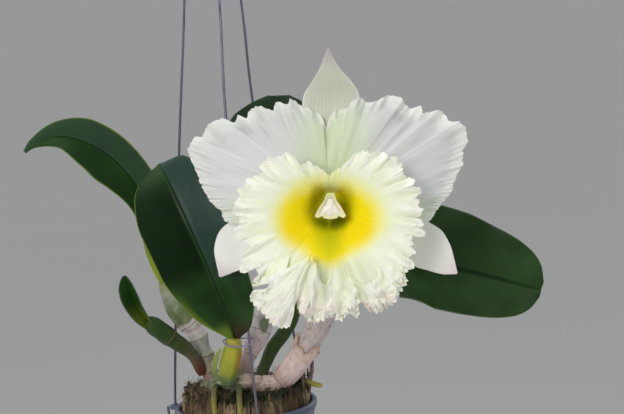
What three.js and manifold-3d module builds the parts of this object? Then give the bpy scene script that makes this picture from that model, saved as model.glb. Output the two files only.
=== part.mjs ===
// A cattleya orchid in flower, growing in a small hanging net basket filled with coconut husk.
// Lengths are in millimetres and z is up. The shapes are worked out with the foot of the basket at z = 0
// and its axis at x = y = 0; the last lines lower everything, so that the origin is where the hook hangs.
import * as THREE from 'three';
import Module from 'manifold-3d';

// Basket
const RIM_Z = 78;
const RIM_R = 43;
const FOOT_R = 31.5;
const WALL = 1.6;
const LUG_R = 46.4;
const LUG_HOLE = 1.4;
const SLOTS = 12;
// Hanger
const WIRE = 0.8;
const WIRE_ANGLES = { front: -80, right: 40, left: 165 };
const COLLAR_Z = RIM_Z + 420;
const COLLAR_R = 4.4;
const COLLAR_H = 14;
const HOOK_R = 12;
const HOOK_WIRE = 1.2;
const HOOK_RISE = 30;
const HANG_Z = COLLAR_Z + COLLAR_H + HOOK_RISE + HOOK_R - HOOK_WIRE;
// Plant
const GAP = 0.3;
const LEAF_HALF = 0.5;
const PETAL_HALF = 0.35;
const FLOWER = { x: 60.5, y: -70, z: 208, up: 8, roll: -4.2 };
const RECEPTACLE = 6;

const wasm = await Module();
wasm.setup();

const rad = (degrees) => (degrees * Math.PI) / 180;
const vec = (p) => new THREE.Vector3(p[0], p[1], p[2]);
const bump = (x) => (Math.abs(x) >= 1 ? 0 : (1 - x * x) ** 2);
const ease = (x) => {
  const t = Math.min(Math.max(x, 0), 1);
  return t * t * (3 - 2 * t);
};
const mix = (a, b, t) => a + (b - a) * t;

// Pseudo-random numbers that are the same on every run.
function dice(seed) {
  let state = seed;
  return () => {
    state = (state * 1103515245 + 12345) % 2147483648;
    return state / 2147483648;
  };
}

// The value at x on a smooth line through pairs of [place, value], with no overshoot between them.
function lookUp(table, x) {
  const last = table.length - 1;
  if (x <= table[0][0]) return table[0][1];
  if (x >= table[last][0]) return table[last][1];
  let i = 0;
  while (x > table[i + 1][0]) i += 1;
  const slope = (k) => (table[k + 1][1] - table[k][1]) / (table[k + 1][0] - table[k][0]);
  const turn = (k) => {
    if (k === 0) return slope(0);
    if (k === last) return slope(last - 1);
    const a = slope(k - 1);
    const b = slope(k);
    return a * b <= 0 ? 0 : (2 * a * b) / (a + b);
  };
  const w = table[i + 1][0] - table[i][0];
  const t = (x - table[i][0]) / w;
  const rise = table[i + 1][1] - table[i][1];
  const a = turn(i) * w;
  const b = turn(i + 1) * w;
  return table[i][1] + t * (a + t * (3 * rise - 2 * a - b + t * (a + b - 2 * rise)));
}

// A geometry from corners and triangles, turned right side out.
function solid(corners, faces) {
  let volume = 0;
  for (const [a, b, c] of faces) {
    volume += corners[a].dot(new THREE.Vector3().crossVectors(corners[b], corners[c]));
  }
  const geometry = new THREE.BufferGeometry();
  const places = corners.flatMap((p) => [p.x, p.y, p.z]);
  geometry.setAttribute('position', new THREE.Float32BufferAttribute(places, 3));
  geometry.setIndex(faces.flatMap(([a, b, c]) => (volume < 0 ? [a, c, b] : [a, b, c])));
  return geometry;
}

// A thin sheet. The grid holds its middle; both faces stand half a thickness off it and are split alike.
// With loop, the last column joins the first.
function sheet(grid, half, loop = false) {
  const n = grid.length;
  const m = grid[0].length;
  const clamp = (k, size) => Math.min(Math.max(k, 0), size - 1);
  const at = (i, j) => grid[clamp(i, n)][loop ? (j + m) % m : clamp(j, m)];
  const corners = [];
  for (const side of [1, -1]) {
    for (let i = 0; i < n; i += 1) {
      for (let j = 0; j < m; j += 1) {
        const down = new THREE.Vector3().subVectors(at(i + 1, j), at(i - 1, j));
        const over = new THREE.Vector3().subVectors(at(i, j + 1), at(i, j - 1));
        const normal = down.cross(over).normalize();
        corners.push(at(i, j).clone().addScaledVector(normal, side * half));
      }
    }
  }
  const id = (side, i, j) => side * n * m + i * m + ((j + m) % m);
  const faces = [];
  const quad = (a, b, c, d) => faces.push([a, b, c], [a, c, d]);
  for (let i = 0; i < n - 1; i += 1) {
    for (let j = 0; j < (loop ? m : m - 1); j += 1) {
      quad(id(0, i, j), id(0, i + 1, j), id(0, i + 1, j + 1), id(0, i, j + 1));
      faces.push([id(1, i, j), id(1, i + 1, j + 1), id(1, i + 1, j)]);
      faces.push([id(1, i, j), id(1, i, j + 1), id(1, i + 1, j + 1)]);
    }
    if (!loop) {
      quad(id(0, i, 0), id(1, i, 0), id(1, i + 1, 0), id(0, i + 1, 0));
      quad(id(0, i, m - 1), id(0, i + 1, m - 1), id(1, i + 1, m - 1), id(1, i, m - 1));
    }
  }
  for (let j = 0; j < (loop ? m : m - 1); j += 1) {
    quad(id(0, 0, j), id(0, 0, j + 1), id(1, 0, j + 1), id(1, 0, j));
    quad(id(0, n - 1, j), id(1, n - 1, j), id(1, n - 1, j + 1), id(0, n - 1, j + 1));
  }
  return solid(corners, faces);
}

// A bar along a path. Radii are pairs of [share of the length, radius]; swell(angle, share) scales them.
// With straight, its rings stand at the path's own points; with closed, it is a ring.
function bar(path, radii, { sides = 12, rings = 14, swell = null, straight = false, closed = false } = {}) {
  const points = path.map(vec);
  const curve = new THREE.CatmullRomCurve3(points, closed, 'centripetal');
  const shares = new Set();
  for (let i = 0; i <= rings; i += 1) shares.add(i / rings);
  for (const [share] of radii) shares.add(share);
  const places = straight ? points.map((p, i) => i / (points.length - 1)) : [...shares].sort((a, b) => a - b);
  if (closed) places.pop();
  const middles = places.map((s, i) => (straight ? points[i] : curve.getPointAt(s)));
  const last = middles.length - 1;
  const ahead = middles.map((p, i) => {
    const next = closed ? middles[(i + 1) % middles.length] : middles[Math.min(i + 1, last)];
    const before = closed ? middles[(i + last) % middles.length] : middles[Math.max(i - 1, 0)];
    return new THREE.Vector3().subVectors(next, before).normalize();
  });
  const start = Math.abs(ahead[0].z) > 0.8 ? new THREE.Vector3(1, 0, 0) : new THREE.Vector3(0, 0, 1);
  let side = start.addScaledVector(ahead[0], -start.dot(ahead[0])).normalize();
  const corners = [];
  middles.forEach((p, i) => {
    side = side.clone().addScaledVector(ahead[i], -side.dot(ahead[i])).normalize();
    const other = new THREE.Vector3().crossVectors(ahead[i], side);
    for (let k = 0; k < sides; k += 1) {
      const a = (k / sides) * 2 * Math.PI;
      const r = lookUp(radii, places[i]) * (swell ? swell(a, places[i]) : 1);
      corners.push(p.clone().addScaledVector(side, r * Math.cos(a)).addScaledVector(other, r * Math.sin(a)));
    }
  });
  const faces = [];
  const count = middles.length;
  for (let i = 0; i < (closed ? count : count - 1); i += 1) {
    for (let k = 0; k < sides; k += 1) {
      const a = i * sides + k;
      const b = i * sides + ((k + 1) % sides);
      const c = ((i + 1) % count) * sides + ((k + 1) % sides);
      const d = ((i + 1) % count) * sides + k;
      faces.push([a, b, c], [a, c, d]);
    }
  }
  if (!closed) {
    corners.push(middles[0].clone(), middles[last].clone());
    for (let k = 0; k < sides; k += 1) {
      const next = (k + 1) % sides;
      faces.push([corners.length - 2, next, k]);
      faces.push([corners.length - 1, last * sides + k, last * sides + next]);
    }
  }
  return solid(corners, faces);
}

// The same bar with every radius a little larger, to cut a seat for it out of its neighbours.
const grown = (radii, extra = GAP) => radii.map(([share, r]) => [share, r + extra]);

// A body turned round the z axis from pairs of [radius, height].
function turned(profile, segments) {
  return new THREE.LatheGeometry(profile.map(([r, z]) => new THREE.Vector2(r, z)), segments).rotateX(Math.PI / 2);
}

// Solid geometry to and from the cutting library.
function toSolid(geometry) {
  const place = geometry.attributes.position;
  const keys = new Map();
  const vertices = [];
  const names = [];
  for (let i = 0; i < place.count; i += 1) {
    const p = [place.getX(i), place.getY(i), place.getZ(i)];
    const key = p.map((c) => Math.round(c * 1e4)).join();
    if (!keys.has(key)) {
      keys.set(key, vertices.length / 3);
      vertices.push(...p);
    }
    names.push(keys.get(key));
  }
  const index = geometry.index ? [...geometry.index.array] : names.map((_, i) => i);
  const corners = [];
  for (let i = 0; i < vertices.length; i += 3) corners.push(vec(vertices.slice(i, i + 3)));
  const faces = [];
  for (let i = 0; i < index.length; i += 3) {
    const [a, b, c] = [names[index[i]], names[index[i + 1]], names[index[i + 2]]];
    if (a !== b && b !== c && c !== a) faces.push([a, b, c]);
  }
  const clean = solid(corners, faces);
  const mesh = new wasm.Mesh({
    numProp: 3,
    vertProperties: new Float32Array(clean.attributes.position.array),
    triVerts: new Uint32Array(clean.index.array),
  });
  return new wasm.Manifold(mesh);
}

function fromSolid(body) {
  const mesh = body.getMesh();
  const geometry = new THREE.BufferGeometry();
  geometry.setAttribute('position', new THREE.Float32BufferAttribute([...mesh.vertProperties], 3));
  geometry.setIndex([...mesh.triVerts]);
  return geometry;
}

function cut(geometry, ...tools) {
  return fromSolid(tools.reduce((body, tool) => body.subtract(toSolid(tool)), toSolid(geometry)));
}

// A leaf or sepal along a curved spine. Widths are [share, left, right] half widths. The across vector
// points to the right edge, and bend turns each half towards the face, in degrees at base and tip.
function blade({ path, across, widths, bend = [[0, 0], [0, 0]], rows = 16, columns = 8, half = LEAF_HALF,
  tip = 1.5, wave = () => 0, place = (p) => p }) {
  const curve = new THREE.CatmullRomCurve3(path.map(vec), false, 'centripetal');
  const turns = new THREE.CatmullRomCurve3(across.map(vec), false, 'centripetal');
  const left = widths.map(([s, l]) => [s, l]);
  const right = widths.map(([s, , r]) => [s, r]);
  const grid = [];
  for (let i = 0; i <= rows; i += 1) {
    const s = 1 - (1 - i / rows) ** tip;
    const middle = curve.getPointAt(s);
    const along = curve.getTangentAt(s);
    const side = turns.getPoint(s);
    side.addScaledVector(along, -side.dot(along)).normalize();
    const face = new THREE.Vector3().crossVectors(side, along);
    const row = [];
    for (let j = 0; j <= columns; j += 1) {
      const v = (2 * j) / columns - 1;
      const hand = v < 0 ? 0 : 1;
      const w = Math.abs(v) * lookUp(hand ? right : left, s);
      const turn = rad(mix(bend[0][hand], bend[1][hand], s));
      const point = middle.clone();
      point.addScaledVector(side, Math.sign(v) * w * Math.cos(turn));
      point.addScaledVector(face, w * Math.sin(turn) + wave(s, v));
      row.push(place(point));
    }
    grid.push(row);
  }
  return sheet(grid, half);
}

// Places in the flower: x to the viewer's right, y up, z out of the flower towards the viewer.
const pitch = rad(FLOWER.up);
const roll = rad(FLOWER.roll);
const flowerRight = vec([1, 0, 0]).multiplyScalar(Math.cos(roll));
const tilted = vec([0, Math.sin(pitch), Math.cos(pitch)]);
flowerRight.addScaledVector(tilted, Math.sin(roll));
const flowerUp = tilted.clone().multiplyScalar(Math.cos(roll)).addScaledVector(vec([1, 0, 0]), -Math.sin(roll));
const flowerOut = vec([0, -Math.cos(pitch), Math.sin(pitch)]);
function inFlower(p) {
  const point = vec([FLOWER.x, FLOWER.y, FLOWER.z]);
  return point.addScaledVector(flowerRight, p.x).addScaledVector(flowerUp, p.y).addScaledVector(flowerOut, p.z);
}
const flowerPoint = (x, y, z) => inFlower(vec([x, y, z])).toArray();

// Finishes
const finish = (color, roughness) => new THREE.MeshStandardMaterial({ color, roughness, side: THREE.DoubleSide });
const FINISH = {
  basket: finish(0x8fa3c4, 0.35),
  husk: finish(0xa08258, 0.9),
  bulb: finish(0xb9b7a2, 0.6),
  greenBulb: finish(0x7d9a3c, 0.5),
  sheath: finish(0xd8c8bb, 0.8),
  leaf: finish(0x3f6b34, 0.4),
  root: finish(0xc9cf9a, 0.7),
  petal: finish(0xeef0ea, 0.5),
  lip: finish(0xf3f3cf, 0.5),
  column: finish(0xefe7cf, 0.4),
  wire: finish(0x8d8ba8, 0.35),
};
const plant = new THREE.Group();
plant.name = 'cattleya_in_basket';
function put(name, geometry, material) {
  const mesh = new THREE.Mesh(geometry, FINISH[material]);
  mesh.name = name;
  plant.add(mesh);
}

// Basket: a tapering pot with a rolled rim, upright slots, a slotted floor and three wire lugs
function makeBasket() {
  const wallAt = (z) => mix(FOOT_R, RIM_R, z / RIM_Z);
  const profile = [
    [0, 0], [FOOT_R - 1, 0], [FOOT_R, 1], [wallAt(70), 70],
    [RIM_R + 0.8, RIM_Z - 4], [RIM_R + 1.2, RIM_Z - 1], [RIM_R + 0.6, RIM_Z],
    [RIM_R - WALL + 0.4, RIM_Z], [RIM_R - WALL, RIM_Z - 1],
    [wallAt(6) - WALL, 6], [wallAt(2) - WALL - 1, WALL], [0, WALL],
  ];
  let body = toSolid(turned(profile, 32));
  const tool = (geometry, x, y, z, turn) => {
    geometry.rotateZ(turn);
    geometry.translate(x, y, z);
    return toSolid(geometry);
  };
  const upright = (r, height) => new THREE.CylinderGeometry(r, r, height, 12).rotateX(Math.PI / 2);
  for (const angle of Object.values(WIRE_ANGLES).map(rad)) {
    const [x, y] = [Math.cos(angle), Math.sin(angle)];
    body = body.add(tool(upright(3.6, 2.6), LUG_R * x, LUG_R * y, RIM_Z - 2.2, angle));
  }
  for (const angle of Object.values(WIRE_ANGLES).map(rad)) {
    const [x, y] = [Math.cos(angle), Math.sin(angle)];
    body = body.subtract(tool(upright(LUG_HOLE, 8), LUG_R * x, LUG_R * y, RIM_Z - 2.2, angle));
  }
  for (let i = 0; i < SLOTS; i += 1) {
    const turn = ((i + 0.5) / SLOTS) * 2 * Math.PI;
    const [x, y] = [Math.cos(turn), Math.sin(turn)];
    body = body.subtract(tool(new THREE.BoxGeometry(16, 5, 50), 37 * x, 37 * y, 37, turn));
    if (i % 2) body = body.subtract(tool(new THREE.BoxGeometry(10, 4, 6), 22 * x, 22 * y, 0.5, turn));
  }
  return fromSolid(body);
}
put('basket', makeBasket(), 'basket');

// Stems. Each is a path with radii, so that its neighbours can be cut to seat it.
const STEMS = {
  rhizome: {
    path: [[-26, 1, 89], [-16, -6, 92], [-7, -13, 94], [2, -15, 94], [13, -14, 92.5]],
    radii: [[0, 2.6], [0.06, 4.2], [0.2, 5], [0.35, 4.6], [0.5, 5.4], [0.66, 4.7], [0.85, 5.2], [0.96, 4.4],
      [1, 2.8]],
    swell: (a, s) => 1 + 0.07 * Math.sin(3 * a + 20 * s) + 0.05 * Math.sin(38 * s),
  },
  bulb_back_left: {
    path: [[-20, -1, 92], [-21, 1, 101], [-23, 1, 112], [-28, 0, 126], [-36.5, -1, 142], [-44.8, -1, 158.5]],
    radii: [[0, 4.4], [0.1, 4.9], [0.17, 4.1], [0.26, 4.9], [0.33, 4.3], [0.42, 5.6], [0.5, 5.4], [0.56, 7.6],
      [0.68, 8.2], [0.8, 7.4], [0.92, 5.6], [1, 3.6]],
    swell: (a, s) => 1 + 0.05 * Math.sin(4 * a + 3 * s),
  },
  bulb_front: {
    path: [[-9, -19, 96], [-8, -24, 105], [-5, -29, 116], [-2.5, -33, 126.5]],
    radii: [[0, 4.2], [0.12, 5], [0.35, 6], [0.6, 6.1], [0.85, 5], [1, 3.4]],
    swell: (a) => 1 + 0.05 * Math.cos(5 * a),
  },
  bulb_middle: {
    path: [[-2, -12, 96], [2, -8, 104], [7, -4, 113], [12, 0, 124], [16, 4, 135]],
    radii: [[0, 3.2], [0.15, 3.6], [0.35, 4.2], [0.5, 5.6], [0.7, 7.2], [0.88, 6.4], [0.96, 4.6], [1, 2.6]],
    swell: (a) => 1 + 0.06 * Math.cos(4 * a),
  },
  bulb_rear: {
    path: [[9, -10, 93.5], [14, -1, 102], [19, 6, 110], [27, 10, 119], [35, 13, 130.5]],
    radii: [[0, 3.4], [0.2, 3.6], [0.5, 4.4], [0.85, 4.6], [1, 3.2]],
    swell: (a) => 1 + 0.05 * Math.cos(4 * a),
  },
  bulb_flowering: {
    path: [[9, -14, 91.5], [20, -14, 92.5], [31, -14, 101], [39.5, -13, 112], [50, -12, 128], [59, -11, 143],
      [66, -10, 157]],
    radii: [[0, 4.6], [0.06, 5.7], [0.14, 5.4], [0.2, 6.4], [0.33, 6.6], [0.5, 7.2], [0.7, 7.6], [0.88, 7],
      [0.96, 5.6], [1, 3.8]],
    swell: (a, s) => 1 + 0.03 * Math.cos(5 * a) * (1 - s),
  },
};
const stemBar = (stem, extra = 0) => bar(stem.path, grown(stem.radii, extra), {
  sides: 10,
  rings: 8,
  swell: stem.swell,
});
const rhizomeSeat = stemBar(STEMS.rhizome, GAP);
// A leaf starts inside the top of its stem and is cut back to a hair's gap.
const onStem = (stem, leaf) => cut(leaf, stemBar(stem, GAP));
put('rhizome', stemBar(STEMS.rhizome), 'bulb');
put('pseudobulb_back_left', cut(stemBar(STEMS.bulb_back_left), rhizomeSeat), 'bulb');
put('pseudobulb_front', cut(stemBar(STEMS.bulb_front), rhizomeSeat), 'greenBulb');
put('pseudobulb_middle', cut(stemBar(STEMS.bulb_middle), rhizomeSeat), 'bulb');
put('pseudobulb_rear', cut(stemBar(STEMS.bulb_rear), rhizomeSeat, stemBar(STEMS.bulb_flowering, GAP)), 'greenBulb');
put('pseudobulb_flowering', cut(stemBar(STEMS.bulb_flowering), rhizomeSeat), 'bulb');

// Papery sheath round the foot of the flowering stem, with a torn upper edge
function makeSheath() {
  const { path, radii, swell } = STEMS.bulb_flowering;
  const curve = new THREE.CatmullRomCurve3(path.map(vec), false, 'centripetal');
  const grid = [];
  const rows = 6;
  const columns = 16;
  let side = vec([0, 0, 1]);
  for (let i = 0; i <= rows; i += 1) {
    const row = [];
    for (let j = 0; j < columns; j += 1) {
      const a = (j / columns) * 2 * Math.PI;
      const top = 0.45 + 0.035 * Math.sin(3 * a + 1) + 0.02 * Math.sin(7 * a);
      const s = mix(0.15, top, i / rows);
      const ahead = curve.getTangentAt(s);
      side = side.clone().addScaledVector(ahead, -side.dot(ahead)).normalize();
      const other = new THREE.Vector3().crossVectors(ahead, side);
      const flare = 1.4 * ease((i / rows - 0.75) / 0.25) * (0.5 + 0.5 * Math.sin(3 * a + 1));
      const r = lookUp(radii, s) * swell(a, s) + GAP + 0.45 + flare;
      const point = curve.getPointAt(s).addScaledVector(side, r * Math.cos(a));
      row.push(point.addScaledVector(other, r * Math.sin(a)));
    }
    grid.push(row);
  }
  return sheet(grid, 0.35, true);
}
put('sheath_flowering', makeSheath(), 'sheath');

// Young growth at the left: a stem with one folded leaf that still opens
const SHOOT = {
  path: [[-25.5, -3, 99], [-31, -7, 113], [-43, -12, 125], [-56, -17.5, 138]],
  radii: [[0, 2.6], [0.08, 3.2], [0.3, 3.6], [0.36, 4.3], [0.6, 5.2], [0.66, 5.8], [0.9, 6], [1, 4.2]],
};
put('new_shoot', cut(bar(SHOOT.path, SHOOT.radii, { sides: 10, rings: 7 }),
  stemBar(STEMS.bulb_back_left, GAP), rhizomeSeat), 'greenBulb');
put('leaf_new_shoot', onStem(SHOOT, blade({
  path: [[-55.6, -17.3, 137.8], [-61.5, -20.5, 148], [-64.5, -22.5, 157], [-66.5, -24, 167.5]],
  across: [[0.9, -0.1, 0.4], [0.9, -0.1, 0.3]],
  widths: [[0, 4.6, 4.6], [0.3, 7, 7.6], [0.6, 6.6, 7.6], [0.85, 4.4, 4.4], [1, 1.2, 1.2]],
  bend: [[56, 40], [24, 40]],
  rows: 8,
  columns: 4,
})), 'leaf');
put('bract_front', blade({
  path: [[-14.5, -20, 98], [-16.5, -23, 106], [-14.5, -26, 113.5], [-11.6, -29.5, 120]],
  across: [[0.8, -0.5, 0.2], [0.8, -0.5, 0.2]],
  widths: [[0, 2, 2], [0.4, 2.2, 2.2], [0.8, 1.4, 1.4], [1, 0.5, 0.5]],
  bend: [[35, 35], [25, 25]],
  rows: 6,
  columns: 4,
}), 'greenBulb');

// Leaves
const recurve = (depth) => (s, v) => -depth * v * v;
put('leaf_far_left', onStem(STEMS.bulb_back_left, blade({
  path: [[-44.6, -1, 157.8], [-47.6, 0, 175], [-50, 3, 200], [-60, 4, 223.5], [-77, 2, 242.5], [-99, -4, 253],
    [-115, -11, 250.5], [-121, -14, 246]],
  across: [[1, 0, 0], [0.95, 0.1, 0.1], [0.8, 0, 0.5], [0.5, 0.1, 0.85], [0.2, 0.3, 0.95]],
  widths: [[0, 3.5, 3.5], [0.12, 8, 8], [0.35, 15, 14], [0.55, 18, 16.5], [0.72, 16, 16], [0.86, 9.5, 9.5],
    [0.95, 4.5, 4.5], [1, 1, 1]],
  bend: [[35, 35], [44, 16]],
  rows: 16,
  columns: 6,
  wave: recurve(1.2),
})), 'leaf');
put('leaf_front', onStem(STEMS.bulb_front, blade({
  path: [[-2.4, -33.2, 126.1], [-4, -37.5, 138], [-8, -41, 152], [-16, -43, 177], [-26.5, -39.5, 205],
    [-37, -27, 229], [-40.5, -18, 233]],
  across: [[0.98, -0.15, 0.1], [0.98, -0.1, 0.25], [0.93, 0.05, 0.35], [0.9, 0.15, 0.4]],
  widths: [[0, 4, 4], [0.1, 12, 15], [0.25, 20, 24], [0.45, 27, 26], [0.65, 28.5, 26], [0.82, 23.5, 24],
    [0.93, 14, 16], [0.98, 7, 9], [1, 2, 2.5]],
  bend: [[45, 35], [8, 14]],
  rows: 15,
  columns: 8,
  wave: recurve(1.5),
})), 'leaf');
put('leaf_rear', onStem(STEMS.bulb_rear, blade({
  path: [[35.3, 13.1, 130], [34, 13, 150], [32, 12, 190], [31, 10, 225], [33, 4, 256], [35, -3, 268]],
  across: [[1, 0, 0.05], [1, 0, 0.1], [0.97, 0, 0.25]],
  widths: [[0, 4, 4], [0.12, 12, 12], [0.35, 23, 23], [0.6, 31, 28], [0.8, 33, 26], [0.91, 28, 20],
    [0.97, 18, 12], [1, 6, 4]],
  bend: [[40, 40], [6, 6]],
  rows: 13,
  columns: 6,
  wave: recurve(1),
})), 'leaf');
put('leaf_right', onStem(STEMS.bulb_flowering, blade({
  path: [[66.4, -9, 157.6], [80, -5.5, 163], [97, -3, 163], [121, 3, 156], [150, 6, 147.5], [188, 0, 135.5]],
  across: [[0.1, -0.5, -0.85], [0.15, -0.35, -0.93], [0.2, -0.1, -0.97]],
  widths: [[0, 4, 4], [0.1, 17, 23], [0.25, 33, 36], [0.4, 38.5, 34], [0.55, 37, 31], [0.7, 32.5, 28.5],
    [0.82, 28.5, 26], [0.91, 23, 22], [0.97, 15.5, 15], [1, 6, 6]],
  bend: [[45, 45], [10, 14]],
  rows: 15,
  columns: 8,
  wave: recurve(1.5),
})), 'leaf');

// Flower stalk: it leaves the top of the flowering stem and ends in the flower's receptacle
put('flower_stalk', bar(
  [[67, -12.6, 158.6], [68.5, -18, 174], [67, -30, 193], [62.5, -46, 203.5],
    flowerPoint(0, 0, -13), flowerPoint(0, 0, -6), flowerPoint(0, 0, 0)],
  [[0, 2.6], [0.08, 2.9], [0.5, 2.9], [0.7, 3.6], [0.8, 4.4], [0.86, RECEPTACLE], [1, RECEPTACLE]],
  { sides: 12, rings: 10 },
), 'greenBulb');

// Sepals, behind the petals
put('sepal_dorsal', blade({
  path: [[0, 6.6, -9], [0.5, 25, -11], [0.6, 45, -13], [0.4, 65, -14], [-1, 92, -16]],
  across: [[1, 0, 0], [1, 0, 0]],
  widths: [[0, 3.6, 3.6], [0.2, 9, 9], [0.45, 15.6, 16], [0.6, 16.8, 17.6], [0.68, 15.8, 16.6],
    [0.76, 11.6, 13], [0.84, 7, 7.4], [0.92, 3.6, 3.4], [1, 0.6, 0.6]],
  bend: [[30, 30], [-12, -12]],
  rows: 12,
  columns: 6,
  half: PETAL_HALF,
  place: inFlower,
}), 'petal');
function lateralSepal(side, reach, drop) {
  return blade({
    path: [[side * 5, -4.2, -9], [side * 30, -13, -13], [side * 53, -24, -14], [side * reach, -drop, -11]],
    across: [[0, 1, 0], [side * 0.4, 1, 0]],
    widths: [[0, 3.2, 3.2], [0.25, 10, 10], [0.5, 15, 14.5], [0.7, 15.5, 15], [0.82, 12.5, 12], [0.93, 6, 6],
      [1, 0.7, 0.7]],
    bend: [[30, 30], [-10, -10]],
    rows: 11,
    columns: 6,
    half: PETAL_HALF,
    place: inFlower,
  });
}
put('sepal_left', lateralSepal(-1, 64.5, 42), 'petal');
put('sepal_right', lateralSepal(1, 73.5, 39.5), 'petal');

// Petals: fans that widen at once from a narrow foot. Outline pairs are [angle, reach] from (side * 3, 4).
function petal({ side, outline, feet, back }) {
  const rows = 7;
  const columns = 38;
  const from = outline[0][0];
  const to = outline[outline.length - 1][0];
  const grid = [];
  for (let i = 0; i <= rows; i += 1) {
    const s = (i / rows) ** 0.9;
    const row = [];
    for (let j = 0; j <= columns; j += 1) {
      const share = j / columns;
      const angle = mix(from, to, share);
      const reach = lookUp(outline, angle);
      const foot = rad(mix(feet[0], feet[1], share));
      const [x0, y0] = [(RECEPTACLE + 0.7) * Math.cos(foot), (RECEPTACLE + 0.7) * Math.sin(foot)];
      const x1 = side * 3 + reach * Math.cos(rad(angle));
      const y1 = 4 + reach * Math.sin(rad(angle));
      const fine = ease((Math.abs(angle - 90) - 55) / 25);
      const ripple = mix(Math.sin(share * 62) * 2.4, Math.sin(share * 112) * 1.4, fine);
      const outer = side < 0 ? 1 - share : share;
      const calm = ease(share * 7) * ease((1 - share) * 7);
      const swell = 8 * Math.sin(Math.PI * Math.min(s * 1.1, 1)) - 3.5 * s * s;
      const lift = swell * ease(outer * 4) + ripple * calm * ease((s - 0.6) / 0.4);
      row.push(inFlower(vec([mix(x0, x1, s), mix(y0, y1, s), back + lift])));
    }
    grid.push(row);
  }
  return sheet(grid, PETAL_HALF);
}
put('petal_left', petal({
  side: -1,
  feet: [105, 188],
  back: -5.6,
  outline: [[85, 36], [90, 43.5], [97, 51], [103, 54.5], [109, 59.5], [115, 61.5], [120, 61], [126, 66],
    [131, 66.5], [137, 68.5], [141, 73.5], [145, 78], [150, 79], [154.5, 83], [160, 83], [166, 78], [174, 70],
    [182, 66], [189, 58.5], [195, 55], [202, 28]],
}), 'petal');
put('petal_right', petal({
  side: 1,
  feet: [-8, 75],
  back: -3.2,
  outline: [[-19, 28], [-13, 57.5], [-7, 58], [-3, 62.5], [3, 66], [9.6, 71.5], [17, 77], [25, 84.2],
    [31, 84.5], [34, 79.5], [40, 78], [44, 72], [47, 72], [51, 67.5], [56, 69], [63, 66.5], [67, 62],
    [71, 58.5], [75, 59], [80, 57], [84, 52.5], [90, 50], [95, 43], [97, 38]],
}), 'petal');

// Lip: one trumpet round the column, slit at the top, with ruffles, notches and two pleats in its lower lobe.
// Reach is measured from the throat at (0, -4), at angles from the slit round through the left side.
const LIP_REACH = [
  [90, 19], [97, 23], [104, 27], [110, 30], [118, 33], [124, 37], [127, 42], [134, 45], [139, 47.5],
  [146, 49], [155, 50], [161, 52], [167, 54], [176, 55.5], [184, 53], [189, 55.5], [193, 57.5], [198, 56],
  [203, 50.5], [207, 56], [211, 60.5], [215, 59], [219, 55.5], [223, 62], [226, 66], [229, 60], [231, 55.5],
  [234, 68], [238, 71.5], [243, 72], [247, 72.5], [249.5, 58], [252, 55], [256, 61], [262, 65.5],
  [266, 60.5], [270, 60], [275, 63], [279, 60], [284, 62.5], [288, 55], [290, 53], [293, 61.5], [298, 64],
  [303, 61], [308, 63], [314, 61], [319, 59.5], [322, 54], [328, 57], [334, 52], [341, 50], [348, 55.5],
  [354, 52], [359, 51], [365, 53.5], [370, 50.5], [375, 52.5], [383, 50.5], [395, 49], [404, 47], [413, 44],
  [423, 38.5], [429, 32.5], [436, 26.5], [443, 22.5], [450, 19],
];
const LIP_DEPTH = [[5.2, 0.65], [8.2, 1.8], [10.4, 6], [12.6, 12], [17, 18], [26, 23.5], [38, 27], [50, 28],
  [60, 26.5], [76, 21]];
const PLEATS = [
  {
    crest: [[226, 54], [230, 42], [236, 32], [243, 27.5], [250, 28.5], [256, 31], [260, 36], [265, 41], [271, 48]],
    middle: 248.5,
    spread: 23,
    rise: 9,
    fold: 13,
  },
  {
    crest: [[283, 48], [289, 42], [296, 46], [304, 47], [311, 50]],
    middle: 297,
    spread: 14,
    rise: 5,
    fold: 6,
  },
];
const PLEAT_RISE = [[0.43, 0], [0.5, 0.1], [0.56, 0.6], [0.64, 1], [0.7, 1.15], [0.84, 0.8], [1, 0.15]];
function makeLip() {
  const steps = [0, 0.07, 0.15, 0.27, 0.43, 0.5, 0.57, 0.64, 0.71, 0.85, 1];
  const columns = 86;
  const spacing = [[0, 91.4], [0.341, 226], [0.705, 326], [1, 448.6]];
  const grid = steps.map((f) => {
    const row = [];
    for (let j = 0; j <= columns; j += 1) {
      const angle = lookUp(spacing, j / columns);
      const reach = lookUp(LIP_REACH, angle);
      let r = mix(5.2, reach, f);
      let z = lookUp(LIP_DEPTH, r);
      for (const pleat of PLEATS) {
        const share = bump((angle - pleat.middle) / pleat.spread) ** 0.5;
        const crest = lookUp(pleat.crest, angle);
        const trough = Math.min(crest + pleat.fold, reach - 6);
        const folded = lookUp([[0, 5.2], [0.15, 12.6], [0.43, 0.8 * trough], [0.5, trough],
          [0.56, mix(trough, crest, 0.45)], [0.64, crest], [0.7, crest + 2], [1, reach]], f);
        r = mix(r, folded, share);
        z = mix(z, lookUp(LIP_DEPTH, folded) + pleat.rise * lookUp(PLEAT_RISE, f), share);
      }
      const side = ease((angle - 100) / 30) * ease((440 - angle) / 30);
      const ruffle = Math.sin(rad(angle) * 27) + 0.35 * Math.sin(rad(angle) * 41 + 1);
      const edge = ease((f - 0.5) / 0.5);
      z += 2.5 * side * edge * ruffle;
      const tooth = 1 + 0.022 * edge * Math.cos(rad(angle) * 54);
      const x = r * tooth * Math.cos(rad(angle));
      const y = r * tooth * Math.sin(rad(angle)) - 4 * ease(r / 30);
      row.push(inFlower(vec([x, y, z])));
    }
    return row;
  });
  return sheet(grid, PETAL_HALF);
}
put('lip', makeLip(), 'lip');

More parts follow.
